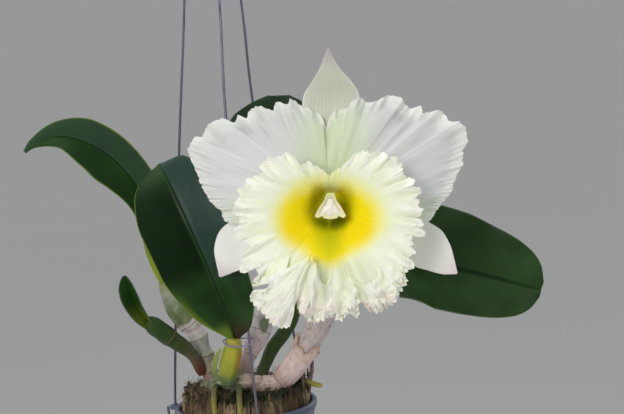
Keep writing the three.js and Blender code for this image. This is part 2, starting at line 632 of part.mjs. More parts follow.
// Column: round at its foot, a three-cornered hood at its front, hollowed under the cap
function makeColumn() {
  const hood = (a) => {
    const corners = [[0, 6.4], [-8.1, -7.4], [8.1, -7.4]];
    const [x, y] = [Math.cos(a), Math.sin(a)];
    let reach = Infinity;
    corners.forEach(([px, py], k) => {
      const [qx, qy] = corners[(k + 1) % 3];
      const [nx, ny] = [qy - py, px - qx];
      const facing = x * nx + y * ny;
      const distance = (px * nx + py * ny) / facing;
      if (distance > 0) reach = Math.min(reach, distance);
    });
    return Math.min(reach, 9.6);
  };
  // Rings of [height, share of the hood's shape, radius of the round part, scale]
  const rings = [[0.35, 0, 4.4, 1], [5, 0, 4.1, 1], [11, 0.35, 4.4, 1], [17, 0.8, 5, 0.92], [21, 1, 5, 0.96],
    [23.4, 1, 5, 1], [24, 1, 5, 0.86], [22.6, 1, 5, 0.62], [20.6, 1, 5, 0.36]];
  const sides = 18;
  const corners = [];
  for (const [z, shape, round, scale] of rings) {
    for (let k = 0; k < sides; k += 1) {
      const a = ((k + 0.5) / sides) * 2 * Math.PI - Math.PI / 2;
      const jag = z > 20 && scale > 0.8 && Math.sin(a) < -0.5 ? 1 + 0.06 * (k % 2) : 1;
      const r = mix(round, hood(a) * jag, shape) * scale;
      corners.push(inFlower(vec([r * Math.cos(a), r * Math.sin(a), z])));
    }
  }
  const faces = [];
  for (let i = 0; i < rings.length - 1; i += 1) {
    for (let k = 0; k < sides; k += 1) {
      const next = (k + 1) % sides;
      faces.push([i * sides + k, i * sides + next, (i + 1) * sides + next]);
      faces.push([i * sides + k, (i + 1) * sides + next, (i + 1) * sides + k]);
    }
  }
  const last = (rings.length - 1) * sides;
  corners.push(inFlower(vec([0, 0, 0.35])), inFlower(vec([0, -0.5, 20.2])));
  for (let k = 0; k < sides; k += 1) {
    const next = (k + 1) % sides;
    faces.push([corners.length - 2, next, k]);
    faces.push([corners.length - 1, last + k, last + next]);
  }
  return solid(corners, faces);
}
put('column', makeColumn(), 'column');

// Roots: paths from the rhizome over the husk
const ROOTS = {
  root_front_left: {
    path: [[-15, -13, 91], [-16, -23, 95], [-17.2, -31, 95], [-18, -34.4, 88], [-17.6, -33.6, 74]],
    radii: [[0, 1.6], [0.9, 1.7], [1, 0.9]],
  },
  root_front: {
    path: [[-2, -21, 91.5], [-2, -31, 95.5], [-2, -37.5, 94], [-2.3, -39.4, 86], [-2, -38.6, 72]],
    radii: [[0, 1.6], [0.9, 1.8], [1, 0.9]],
  },
  root_right: {
    path: [[29, -6.5, 91], [36, -7, 91.5], [42, -8, 89], [48, -6.5, 86.5]],
    radii: [[0, 1.6], [0.85, 1.7], [1, 1]],
  },
  root_dry_right: {
    path: [[39.6, -4, 82], [41, -3, 90], [42.6, -2.5, 97], [43, -2, 105.5]],
    radii: [[0, 1], [0.7, 1.3], [1, 0.6]],
  },
};
const rootBar = (root, extra = 0) => bar(root.path, grown(root.radii, extra), { sides: 6, rings: 7 });

// Husk: upright chunks that fill the basket, cut to seat the stems and roots
function makeHusk() {
  const sheathed = (stem) => (stem === STEMS.bulb_flowering ? 1.3 : 0.1);
  const seats = [
    ...Object.values(STEMS).map((stem) => stemBar(stem, GAP + sheathed(stem))),
    bar(SHOOT.path, grown(SHOOT.radii)),
    ...Object.values(ROOTS).map((root) => rootBar(root, GAP)),
  ];
  const inner = (z) => mix(FOOT_R, RIM_R, Math.min(z, RIM_Z) / RIM_Z) - WALL - 0.5;
  const bounds = [-116, -84, -52, -22, 30, 88, 140, 196, 244];
  const tops = [91, 92, 90.5, 89, 87.5, 89, 90.5, 92];
  const roll = dice(7);
  const chunk = (outline, top) => {
    const levels = [WALL + 0.4, 32, 66, 80, top];
    const corners = [];
    levels.forEach((z, i) => {
      for (const [share, angle] of outline) {
        const lean = i < levels.length - 1 ? 1 : 0.93 + 0.04 * roll();
        const r = share * inner(z) * lean * (i > 0 && share < 0.9 ? 1 - 0.02 * roll() : 1);
        const height = i === levels.length - 1 ? z - 3.2 * roll() : z;
        corners.push(vec([r * Math.cos(rad(angle)), r * Math.sin(rad(angle)), height]));
      }
    });
    const n = outline.length;
    const faces = [];
    for (let i = 0; i < levels.length - 1; i += 1) {
      for (let k = 0; k < n; k += 1) {
        const next = (k + 1) % n;
        faces.push([i * n + k, i * n + next, (i + 1) * n + next]);
        faces.push([i * n + k, (i + 1) * n + next, (i + 1) * n + k]);
      }
    }
    const middle = (level) => {
      const sum = vec([0, 0, 0]);
      for (let k = 0; k < n; k += 1) sum.add(corners[level * n + k]);
      return sum.divideScalar(n);
    };
    corners.push(middle(0), middle(levels.length - 1));
    for (let k = 0; k < n; k += 1) {
      const next = (k + 1) % n;
      faces.push([corners.length - 2, next, k]);
      faces.push([corners.length - 1, (levels.length - 1) * n + k, (levels.length - 1) * n + next]);
    }
    return cut(solid(corners, faces), ...seats);
  };
  const slit = 0.7;
  tops.forEach((top, i) => {
    const [from, to] = [bounds[i] + slit, bounds[i + 1] - slit];
    const outline = [[0.44, to - 1], [0.42, mix(from, to, 0.5)], [0.44, from + 1]];
    for (let k = 0; k <= 4; k += 1) outline.push([k % 4 ? 0.985 - 0.012 * (k % 2) : 0.96, mix(from, to, k / 4)]);
    put(`husk_${i + 1}`, chunk(outline, top), 'husk');
  });
  put('husk_middle', chunk([0, 1, 2, 3, 4, 5, 6, 7].map((k) => [0.37 + 0.02 * (k % 2), k * 45]), 88), 'husk');
}
makeHusk();
for (const [name, root] of Object.entries(ROOTS)) {
  const carriers = [rhizomeSeat, stemBar(STEMS.bulb_flowering, GAP), stemBar(STEMS.bulb_front, GAP)];
  put(name, cut(rootBar(root), ...carriers), 'root');
}

// Hanger: three wires from the lugs to a collar, and a hook
const WIRE_BENDS = {
  front: [[3.9, -20.3, RIM_Z + 251], [2.6, -27.4, RIM_Z + 183], [6.8, -41.5, RIM_Z + 42]],
  right: [[15.8, 13.3, RIM_Z + 249], [18.2, 17.2, RIM_Z + 185]],
  left: [[-18.4, 5.3, RIM_Z + 251], [-29.5, 7.8, RIM_Z + 157]],
};
for (const [name, degrees] of Object.entries(WIRE_ANGLES)) {
  const at = (r, z) => [r * Math.cos(rad(degrees)), r * Math.sin(rad(degrees)), z];
  const top = at(2.3, COLLAR_Z + 7);
  const under = [[0, 2.5], [0, -2], [0, -6], [0.8, -8], [2.6, -9], [4.4, -8], [5, -6], [5, -2]];
  const path = [top, ...WIRE_BENDS[name], ...under.map(([r, z]) => at(LUG_R + r, RIM_Z + z))];
  put(`hanger_wire_${name}`, bar(path, [[0, WIRE], [1, WIRE]], { sides: 6, straight: true }), 'wire');
}
function makeCollar() {
  const profile = [
    [0, 0], [COLLAR_R - 0.8, 0], [COLLAR_R, 0.8], [COLLAR_R, 4], [COLLAR_R - 0.5, 5], [COLLAR_R - 0.5, 9],
    [COLLAR_R, 10], [COLLAR_R, COLLAR_H - 0.8], [COLLAR_R - 0.8, COLLAR_H], [0, COLLAR_H],
  ];
  const body = turned(profile, 12);
  body.translate(0, 0, COLLAR_Z);
  const holes = Object.entries(WIRE_ANGLES).map(([name, degrees]) => {
    const end = vec([2.3 * Math.cos(rad(degrees)), 2.3 * Math.sin(rad(degrees)), COLLAR_Z + 7]);
    const ahead = end.clone().sub(vec(WIRE_BENDS[name][0])).normalize();
    const ends = [-10, 0.4].map((step) => end.clone().addScaledVector(ahead, step).toArray());
    return bar(ends, grown([[0, WIRE], [1, WIRE]]), { sides: 6, straight: true });
  });
  const bore = [[0, 0, COLLAR_Z + 9.6], [0, 0, COLLAR_Z + COLLAR_H + 2]];
  const shank = bar(bore, grown([[0, HOOK_WIRE], [1, HOOK_WIRE]]), { sides: 8, straight: true });
  return cut(body, ...holes, shank);
}
put('hanger_collar', makeCollar(), 'wire');
function makeHook() {
  const top = COLLAR_Z + COLLAR_H;
  const path = [[0, 0, top - 4], [0, 0, top + 3], [1.2, 0, top + 8], [5, 0, top + 14.5], [9.4, 0, top + 21],
    [11.6, 0, top + 26]];
  for (let i = 0; i <= 12; i += 1) {
    const a = rad(i * 17.5);
    path.push([HOOK_R * Math.cos(a), 0, top + HOOK_RISE + HOOK_R * Math.sin(a)]);
  }
  return bar(path, [[0, HOOK_WIRE], [1, HOOK_WIRE]], { sides: 8, straight: true });
}
put('hanger_hook', makeHook(), 'wire');

// A thin wire tie holds the foot of the front leaf to the front wire
put('wire_tie', bar(
  [[-9.5, -33, 124.5], [-6, -38.6, 122.8], [0, -41.5, 122.5], [6, -43.2, 123.4], [9.6, -41.4, 125],
    [8, -37.6, 126], [3.5, -32, 125.4], [-2, -26.2, 124.4], [-7.6, -27.4, 124.6]],
  [[0, 0.5], [1, 0.5]],
  { sides: 6, rings: 20, closed: true },
), 'wire');

plant.position.z = -HANG_Z;
export default plant;
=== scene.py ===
"""Looks for a cattleya orchid in flower that grows in a small hanging basket of coconut husk.

Shapes are worked out in millimetres, with the basket's foot at z = 0 and its axis at x = y = 0, as the
solids are. When a mesh is made it is lowered by HANG_Z and turned to metres, so that the origin is where the
hook hangs.
"""
from __future__ import annotations

import logging
import math
from dataclasses import dataclass, field
from enum import Enum
from functools import partial, reduce
from typing import Callable, Sequence

import bpy
import numpy as np
from mathutils import Matrix

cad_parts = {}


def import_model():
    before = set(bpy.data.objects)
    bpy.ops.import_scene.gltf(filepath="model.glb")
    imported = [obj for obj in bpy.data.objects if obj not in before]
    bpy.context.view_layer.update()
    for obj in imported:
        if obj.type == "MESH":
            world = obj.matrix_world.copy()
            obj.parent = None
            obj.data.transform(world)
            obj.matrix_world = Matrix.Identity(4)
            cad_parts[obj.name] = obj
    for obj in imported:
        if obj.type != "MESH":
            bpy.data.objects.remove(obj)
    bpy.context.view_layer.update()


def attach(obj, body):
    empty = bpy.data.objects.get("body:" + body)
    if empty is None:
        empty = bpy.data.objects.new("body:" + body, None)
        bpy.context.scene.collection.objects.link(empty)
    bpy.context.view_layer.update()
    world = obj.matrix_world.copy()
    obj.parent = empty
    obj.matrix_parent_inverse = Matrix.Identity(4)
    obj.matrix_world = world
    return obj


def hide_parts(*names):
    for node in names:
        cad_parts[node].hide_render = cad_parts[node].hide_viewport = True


LOG = logging.getLogger("orchid")
Array = np.ndarray
Table = Sequence[Sequence[float]]
Colour = tuple[float, float, float]
Place = tuple[float, float, float]
Pair = tuple[float, float]
Stops = Sequence[tuple[float, Colour]]
Socket = bpy.types.NodeSocket
Material = bpy.types.Material

# Sizes in millimetres and angles in degrees.
RIM_Z = 78.0
RIM_R = 43.0
FOOT_R = 31.5
WALL = 1.6
LUG_R = 46.4
LUG_HOLE = 1.4
SLOTS = 12
WIRE = 0.8
WIRE_ANGLES = {"front": -80.0, "right": 40.0, "left": 165.0}
COLLAR_Z = RIM_Z + 420.0
COLLAR_R = 4.4
COLLAR_H = 14.0
HOOK_R = 12.0
HOOK_WIRE = 1.2
HOOK_RISE = 30.0
HANG_Z = COLLAR_Z + COLLAR_H + HOOK_RISE + HOOK_R - HOOK_WIRE
LEAF_HALF = 0.5
PETAL_HALF = 0.35
RECEPTACLE = 6.0

# How far light reaches under pale and under warm skin, by colour.
PALE_GLOW = (1.0, 1.0, 0.8)
WARM_GLOW = (1.0, 0.9, 0.5)


def ease(x: Array) -> Array:
    """A smooth step: 0 below 0, 1 above 1, and 3x^2 - 2x^3 between."""
    t = np.clip(x, 0.0, 1.0)
    return t * t * (3 - 2 * t)


def bump(x: Array) -> Array:
    """A smooth hill: (1 - x^2)^2 within 1 of the middle, and 0 outside."""
    return np.where(np.abs(x) >= 1, 0.0, (1 - x * x) ** 2)


def mix(a: Array, b: Array, t: Array) -> Array:
    """The value a share t of the way from a to b."""
    return a + (b - a) * t


def unit(v: Array) -> Array:
    """The vectors at length 1."""
    return v / np.maximum(np.linalg.norm(v, axis=-1, keepdims=True), 1e-12)


def all_round(count: int) -> Array:
    """Angles evenly round a circle, in radians."""
    return np.linspace(0, 2 * np.pi, count, endpoint=False)


def spread(*parts: Array | float) -> Array:
    """Points from their coordinates, broadcast to one form and stacked on a new last axis."""
    return np.stack(np.broadcast_arrays(*parts), -1)


def polar(r: Array | float, a: Array, z: Array | float) -> Array:
    """Points at radius r and angle a round the z axis, at height z."""
    return spread(r * np.cos(a), r * np.sin(a), z)


def look_up(places: Sequence[float], values: Array, x: Array) -> Array:
    """A smooth line through values at places, with no overshoot between them.

    Cubic in each stretch. Its slope at a place is the harmonic mean of the slopes beside it, or 0 at a turn.

    Args:
        places: where the values are, rising.
        values: one value a place, or one row of values a place.
        x: where to read the line; with rows of values, one x a row of the result.

    Returns:
        The values at x.
    """
    xs = np.asarray(places, float)
    ys = np.asarray(values, float)
    width = np.diff(xs).reshape((-1,) + (1,) * (ys.ndim - 1))
    slope = np.diff(ys, axis=0) / width
    before, after = slope[:-1], slope[1:]
    same = before * after > 0
    middle = np.where(same, 2 * before * after / np.where(same, before + after, 1.0), 0.0)
    turn = np.concatenate([slope[:1], middle, slope[-1:]])
    q = np.clip(np.asarray(x, float), xs[0], xs[-1])
    i = np.clip(np.searchsorted(xs, q, side="right") - 1, 0, len(xs) - 2)
    w = xs[i + 1] - xs[i]
    t = (q - xs[i]) / w
    if ys.ndim > 1:
        w, t = w[:, None], t[:, None]
    rise = ys[i + 1] - ys[i]
    a, b = turn[i] * w, turn[i + 1] * w
    return ys[i] + t * (a + t * (3 * rise - 2 * a - b + t * (a + b - 2 * rise)))


def read(table: Table, x: Array, column: int = 1) -> Array:
    """look_up on a table of rows, place first, in the column given."""
    rows = np.asarray(table, float)
    return look_up(rows[:, 0], rows[:, column], x)


def rumple(p: Array, size: float, seed: int, waves: int = 16) -> Array:
    """Smooth noise: a sum of sines in random directions, with wavelengths of 0.6 to 1.6 times size.

    Args:
        p: points, the last axis being their coordinates.
        size: the usual distance from hill to hill.
        seed: picks the directions.
        waves: how many sines are added.

    Returns:
        Values that stay mostly within 1 of 0.
    """
    rng = np.random.default_rng(seed)
    ways = unit(rng.normal(size=(waves, p.shape[-1])))
    ways = ways * (2 * np.pi / (size * rng.uniform(0.6, 1.6, (waves, 1))))
    return np.sin(p @ ways.T + rng.uniform(0, 2 * np.pi, waves)).sum(-1) / math.sqrt(waves * 1.6)


class Path:
    """A smooth path through points, read by share of its length: cubic stretches whose speed at a point is
    the blend of its neighbours' chords, each weighted by the square root of the chord's length."""

    def __init__(self, points: Table, closed: bool = False) -> None:
        """Works out the dense points of the path.

        Args:
            points: the points in order.
            closed: the last point joins the first.
        """
        p = np.asarray(points, float)
        ends = (p[-1:], p[:2]) if closed else (2 * p[:1] - p[1:2], 2 * p[-1:] - p[-2:-1])
        q = np.vstack([ends[0], p, ends[1]])
        a, b, c, d = q[:-3], q[1:-2], q[2:-1], q[3:]
        gap = [np.sqrt(np.linalg.norm(v - u, axis=1, keepdims=True)) for u, v in ((a, b), (b, c), (c, d))]
        gap = [np.where(g < 1e-4, 1.0, g) for g in gap]
        leave = ((b - a) / gap[0] - (c - a) / (gap[0] + gap[1]) + (c - b) / gap[1]) * gap[1]
        arrive = ((c - b) / gap[1] - (d - b) / (gap[1] + gap[2]) + (d - c) / gap[2]) * gap[1]
        t = np.linspace(0, 1, 80, endpoint=False)[None, :, None]
        b, c, leave, arrive = (v[:, None, :] for v in (b, c, leave, arrive))
        dense = b + t * (leave + t * (3 * (c - b) - 2 * leave - arrive + t * (2 * (b - c) + leave + arrive)))
        end = p[:1] if closed else p[-1:]
        self.dense = np.vstack([dense.reshape(-1, 3), end])
        self.places = np.concatenate([[0], np.cumsum(np.linalg.norm(np.diff(self.dense, axis=0), axis=1))])
        self.places /= self.places[-1]

    def at(self, share: Array) -> Array:
        """The points at shares of the length."""
        return np.stack([np.interp(share, self.places, self.dense[:, k]) for k in range(3)], axis=-1)

    def by_point(self, share: Array) -> Array:
        """The points at shares counted in points, each stretch taking as much as any other."""
        index = np.linspace(0, 1, len(self.dense))
        return np.stack([np.interp(share, index, self.dense[:, k]) for k in range(3)], axis=-1)

    def ahead(self, share: Array) -> Array:
        """The direction of the path at shares of the length."""
        return unit(self.at(np.minimum(share + 2e-3, 1)) - self.at(np.maximum(share - 2e-3, 0)))


def quads_between(rows: int, columns: int, u: Array, v: Array, loop: bool = False) -> tuple[Array, Array]:
    """The quads of a grid of points.

    Args:
        rows: rows of points.
        columns: columns of points.
        u: the U of each column, with one more at the end if the last column joins the first.
        v: the V of each row.
        loop: the last column joins the first.

    Returns:
        Corner numbers, four a quad, and the UV of each.
    """
    i, j = np.meshgrid(np.arange(rows - 1), np.arange(columns if loop else columns - 1), indexing="ij")
    i, j = i.ravel(), j.ravel()
    places = ((i, j), (i + 1, j), (i + 1, j + 1), (i, j + 1))
    quads = np.stack([r * columns + c % columns for r, c in places], axis=1)
    uv = np.stack([spread(u[c], v[r]) for r, c in places], axis=1)
    return quads, uv


@dataclass
class Shape:
    """Corners in millimetres, with quads and triangles between them and a UV for each corner of each face."""

    corners: Array
    quads: Array
    quad_uv: Array
    tris: Array = field(default_factory=lambda: np.zeros((0, 3), int))
    tri_uv: Array = field(default_factory=lambda: np.zeros((0, 3, 2)))

    @staticmethod
    def joined(shapes: Sequence[Shape]) -> Shape:
        """Several shapes as one.

        Args:
            shapes: the shapes in order.

        Returns:
            One shape, the corner numbers moved on by those before.
        """
        starts = np.cumsum([0] + [len(s.corners) for s in shapes[:-1]])
        return Shape(
            np.vstack([s.corners for s in shapes]),
            np.vstack([s.quads + k for s, k in zip(shapes, starts)]),
            np.concatenate([s.quad_uv for s in shapes]),
            np.vstack([s.tris + k for s, k in zip(shapes, starts)]),
            np.concatenate([s.tri_uv for s in shapes]),
        )

    def outward(self) -> Shape:
        """The closed shape with its faces turned outwards, judged by the sign of its volume.

        Returns:
            The shape itself, or one with every face turned over.
        """
        q, t, c = self.quads, self.tris, self.corners - self.corners.mean(0)
        parts = [(q[:, 0], q[:, 1], q[:, 2]), (q[:, 0], q[:, 2], q[:, 3]), (t[:, 0], t[:, 1], t[:, 2])]
        volume = sum(np.einsum("ij,ij->", c[a], np.cross(c[b], c[d])) for a, b, d in parts)
        if volume > 0:
            return self
        return Shape(self.corners, q[:, ::-1], self.quad_uv[:, ::-1], t[:, ::-1], self.tri_uv[:, ::-1])

    def mesh(self, name: str) -> bpy.types.Mesh:
        """The shape as a mesh in metres, with its UV map.

        Args:
            name: the mesh's name.

        Returns:
            The mesh, lowered so that the origin is where the hook hangs.
        """
        mesh = bpy.data.meshes.new(name)
        corners = (self.corners - np.array([0.0, 0.0, HANG_Z])) / 1000
        mesh.vertices.add(len(corners))
        mesh.vertices.foreach_set("co", corners.astype(np.float32).ravel())
        loops = np.concatenate([self.quads.ravel(), self.tris.ravel()])
        sizes = np.concatenate([np.full(len(self.quads), 4), np.full(len(self.tris), 3)])
        mesh.loops.add(len(loops))
        mesh.loops.foreach_set("vertex_index", loops.astype(np.int32))
        mesh.polygons.add(len(sizes))
        mesh.polygons.foreach_set("loop_start", (np.cumsum(sizes) - sizes).astype(np.int32))
        uv = mesh.uv_layers.new(name="form")
        both = np.concatenate([self.quad_uv.reshape(-1, 2), self.tri_uv.reshape(-1, 2)])
        uv.data.foreach_set("uv", both.astype(np.float32).ravel())
        mesh.update(calc_edges=True)
        mesh.validate()
        return mesh


def sheet(grid: Array, front: Array | float, back: Array | float, loop: bool = False,
          v: Array | None = None) -> Shape:
    """A thin closed sheet: two faces off the grid's points along its normals, and quads round the rim.

    Args:
        grid: points, rows by columns by 3.
        front: how far the front face stands off, one number or one a point.
        back: the same for the back face.
        loop: the last column joins the first.
        v: the V of each row; even steps without it.

    Returns:
        The closed shape; U runs over the columns and V over the rows.
    """
    n, m = grid.shape[:2]
    down = np.gradient(grid, axis=0)
    over = (np.roll(grid, -1, 1) - np.roll(grid, 1, 1)) / 2 if loop else np.gradient(grid, axis=1)
    normal = unit(np.cross(down, over))
    lift = [np.broadcast_to(np.asarray(h, float), (n, m))[..., None] for h in (front, back)]
    corners = np.stack([grid + normal * lift[0], grid - normal * lift[1]]).reshape(-1, 3)
    u = np.linspace(0, 1, m + 1 if loop else m)
    v = np.linspace(0, 1, n) if v is None else v
    quads, uv = quads_between(n, m, u, v, loop)
    faces, uvs = [quads, quads[:, ::-1] + n * m], [uv, uv[:, ::-1]]
    j = np.arange(m if loop else m - 1)
    for row in (0, n - 1):
        a, b = row * m + j, row * m + (j + 1) % m
        face = spread(a, b, b + n * m, a + n * m)
        edge = np.stack([spread(u[k], v[row]) for k in (j, j + 1, j + 1, j)], 1)
        faces.append(face if row == 0 else face[:, ::-1])
        uvs.append(edge if row == 0 else edge[:, ::-1])
    i = np.arange(n - 1)
    for column in () if loop else (0, m - 1):
        a, b = i * m + column, (i + 1) * m + column
        face = spread(a, a + n * m, b + n * m, b)
        edge = np.stack([spread(u[column], v[k]) for k in (i, i, i + 1, i + 1)], 1)
        faces.append(face if column == 0 else face[:, ::-1])
        uvs.append(edge if column == 0 else edge[:, ::-1])
    return Shape(corners, np.vstack(faces), np.concatenate(uvs)).outward()


def tube(rings: Array, ends: tuple[Array, Array] | None = None, v: Array | None = None,
         closed: bool = False) -> Shape:
    """A closed body round rings of points, with a fan of triangles on each end, or joined end to end.

    Args:
        rings: points, rings by sides by 3.
        ends: the middle points of the two end fans; the rings' own middles without it.
        v: the V of each ring.
        closed: the last ring joins the first, and there are no ends.

    Returns:
        The closed shape; U runs round and V along.
    """
    n, m = rings.shape[:2]
    v = np.linspace(0, 1, n) if v is None else v
    u = np.linspace(0, 1, m + 1)
    if closed:
        quads, uv = quads_between(n + 1, m, u, np.append(v, v[-1]), True)
        return Shape(rings.reshape(-1, 3), quads % (n * m), uv).outward()
    quads, uv = quads_between(n, m, u, v, True)
    middles = (rings[0].mean(0), rings[-1].mean(0)) if ends is None else ends
    j = np.arange(m)
    over = (j + 1) % m
    first = spread(n * m, over, j)
    last = spread(n * m + 1, (n - 1) * m + j, (n - 1) * m + over)
    halves = (u[:-1] + u[1:]) / 2
    first_uv = np.stack([spread(c, v[0]) for c in (halves, u[1:], u[:-1])], 1)
    last_uv = np.stack([spread(c, v[-1]) for c in (halves, u[:-1], u[1:])], 1)
    corners = np.vstack([rings.reshape(-1, 3), middles[0], middles[1]])
    return Shape(corners, quads, uv, np.vstack([first, last]), np.concatenate([first_uv, last_uv])).outward()


Swell = Callable[[Array, Array], Array]


def bar(points: Table, radii: Table, sides: int = 16, rings: int = 40, swell: Swell | None = None,
        relief: Swell | None = None, closed: bool = False) -> Shape:
    """A bar along a path: at each share of it a circle of the radius there, square to the path.

    Args:
        points: the points of the path.
        radii: pairs of share and radius.
        sides: points round each ring.
        rings: rings along the path.
        swell: (angle, share) to the radius's scale.
        relief: (angle, share) to millimetres added to the radius.
        closed: the bar is a ring.

    Returns:
        The closed bar.
    """
    path = Path(points, closed)
    shares = np.linspace(0, 1, rings, endpoint=not closed)
    middles = path.at(shares)
    ahead = path.ahead(shares)
    side = np.empty_like(middles)
    carried = np.array([1.0, 0, 0]) if abs(ahead[0, 2]) > 0.8 else np.array([0, 0, 1.0])
    for k, way in enumerate(ahead):
        carried = unit(carried - way * (carried @ way))
        side[k] = carried
    other = np.cross(ahead, side)
    a = all_round(sides)[None, :]
    s = shares[:, None]
    r = read(radii, s) * (swell(a, s) if swell else 1.0) + (relief(a, s) if relief else 0.0)
    r = np.broadcast_to(r, (len(shares), sides))[..., None]
    over, up = np.cos(a)[..., None] * r, np.sin(a)[..., None] * r
    grid = middles[:, None] + side[:, None] * over + other[:, None] * up
    return tube(grid, v=shares, closed=closed)


def turned(profile: Table, segments: int = 64) -> Shape:
    """A body turned round the z axis: each pair of radius and height is carried round.

    Args:
        profile: the pairs, of which the first and the last lie on the axis.
        segments: sides round the body.

    Returns:
        The closed body.
    """
    p = np.asarray(profile, float)
    rings = polar(p[1:-1, :1], all_round(segments), p[1:-1, 1:])
    return tube(rings, ends=(np.array([0, 0, p[0, 1]]), np.array([0, 0, p[-1, 1]])))


def strands(foot: Array, ahead: Array, droop: Array, radius: Array) -> Shape:
    """Many thin strands, each a bent three-sided rod: foot + t * ahead + t^2 * droop, narrowing to its tip.

    Args:
        foot: where each strand starts.
        ahead: its first direction, as long as the strand.
        droop: how far its tip is bent away.
        radius: its radius at the foot.

    Returns:
        All the strands as one shape of closed bodies.
    """
    rings, sides = 5, 3
    t = np.linspace(0, 1, rings)[None, :, None]
    middles = foot[:, None] + ahead[:, None] * t + droop[:, None] * t * t
    way = unit(ahead)
    side = unit(np.cross(way, np.where(np.abs(way[:, 2:]) > 0.8, [[1.0, 0, 0]], [[0, 0, 1.0]])))
    other = np.cross(way, side)
    a = np.arange(sides) / sides * 2 * np.pi
    round_it = side[:, None] * np.cos(a)[None, :, None] + other[:, None] * np.sin(a)[None, :, None]
    r = radius[:, None, None, None] * (1 - 0.8 * t[..., None] ** 1.5)
    grid = middles[:, :, None] + round_it[:, None] * r
    count, each = len(foot), rings * sides
    quads, uv = quads_between(rings, sides, np.linspace(0, 1, sides + 1), np.linspace(0, 1, rings), True)
    starts = (np.arange(count) * each)[:, None, None]
    last = (rings - 1) * sides
    caps = np.array([[0, 2, 1], [last, last + 1, last + 2]])
    caps_uv = np.zeros((2, 3, 2))
    caps_uv[1, :, 1] = 1
    return Shape(
        grid.reshape(-1, 3),
        (quads[None, :, ::-1] + starts).reshape(-1, 4),
        np.tile(uv[:, ::-1], (count, 1, 1)),
        (caps[None, :, ::-1] + starts).reshape(-1, 3),
        np.tile(caps_uv[:, ::-1], (count, 1, 1)),
    ).outward()


@dataclass(frozen=True)
class FlowerFrame:
    """Places in the flower: x to the viewer's right, y up and z out of the flower towards the viewer."""

    middle: Place = (60.5, -70.0, 208.0)
    up: float = 8.0
    roll: float = -4.2

    def axes(self) -> Array:
        """The flower's own directions: it looks up by one angle and is rolled by the other.

        Returns:
            Right, up and out as rows.
        """
        pitch, roll = math.radians(self.up), math.radians(self.roll)
        across = np.array([1.0, 0, 0])
        tilted = np.array([0, math.sin(pitch), math.cos(pitch)])
        right = across * math.cos(roll) + tilted * math.sin(roll)
        over = tilted * math.cos(roll) - across * math.sin(roll)
        return np.stack([right, over, np.array([0, -math.cos(pitch), math.sin(pitch)])])

    def place(self, p: Array) -> Array:
        """Flower places as places in the basket's frame."""
        return np.asarray(self.middle) + np.asarray(p, float) @ self.axes()


FLOWER = FlowerFrame()


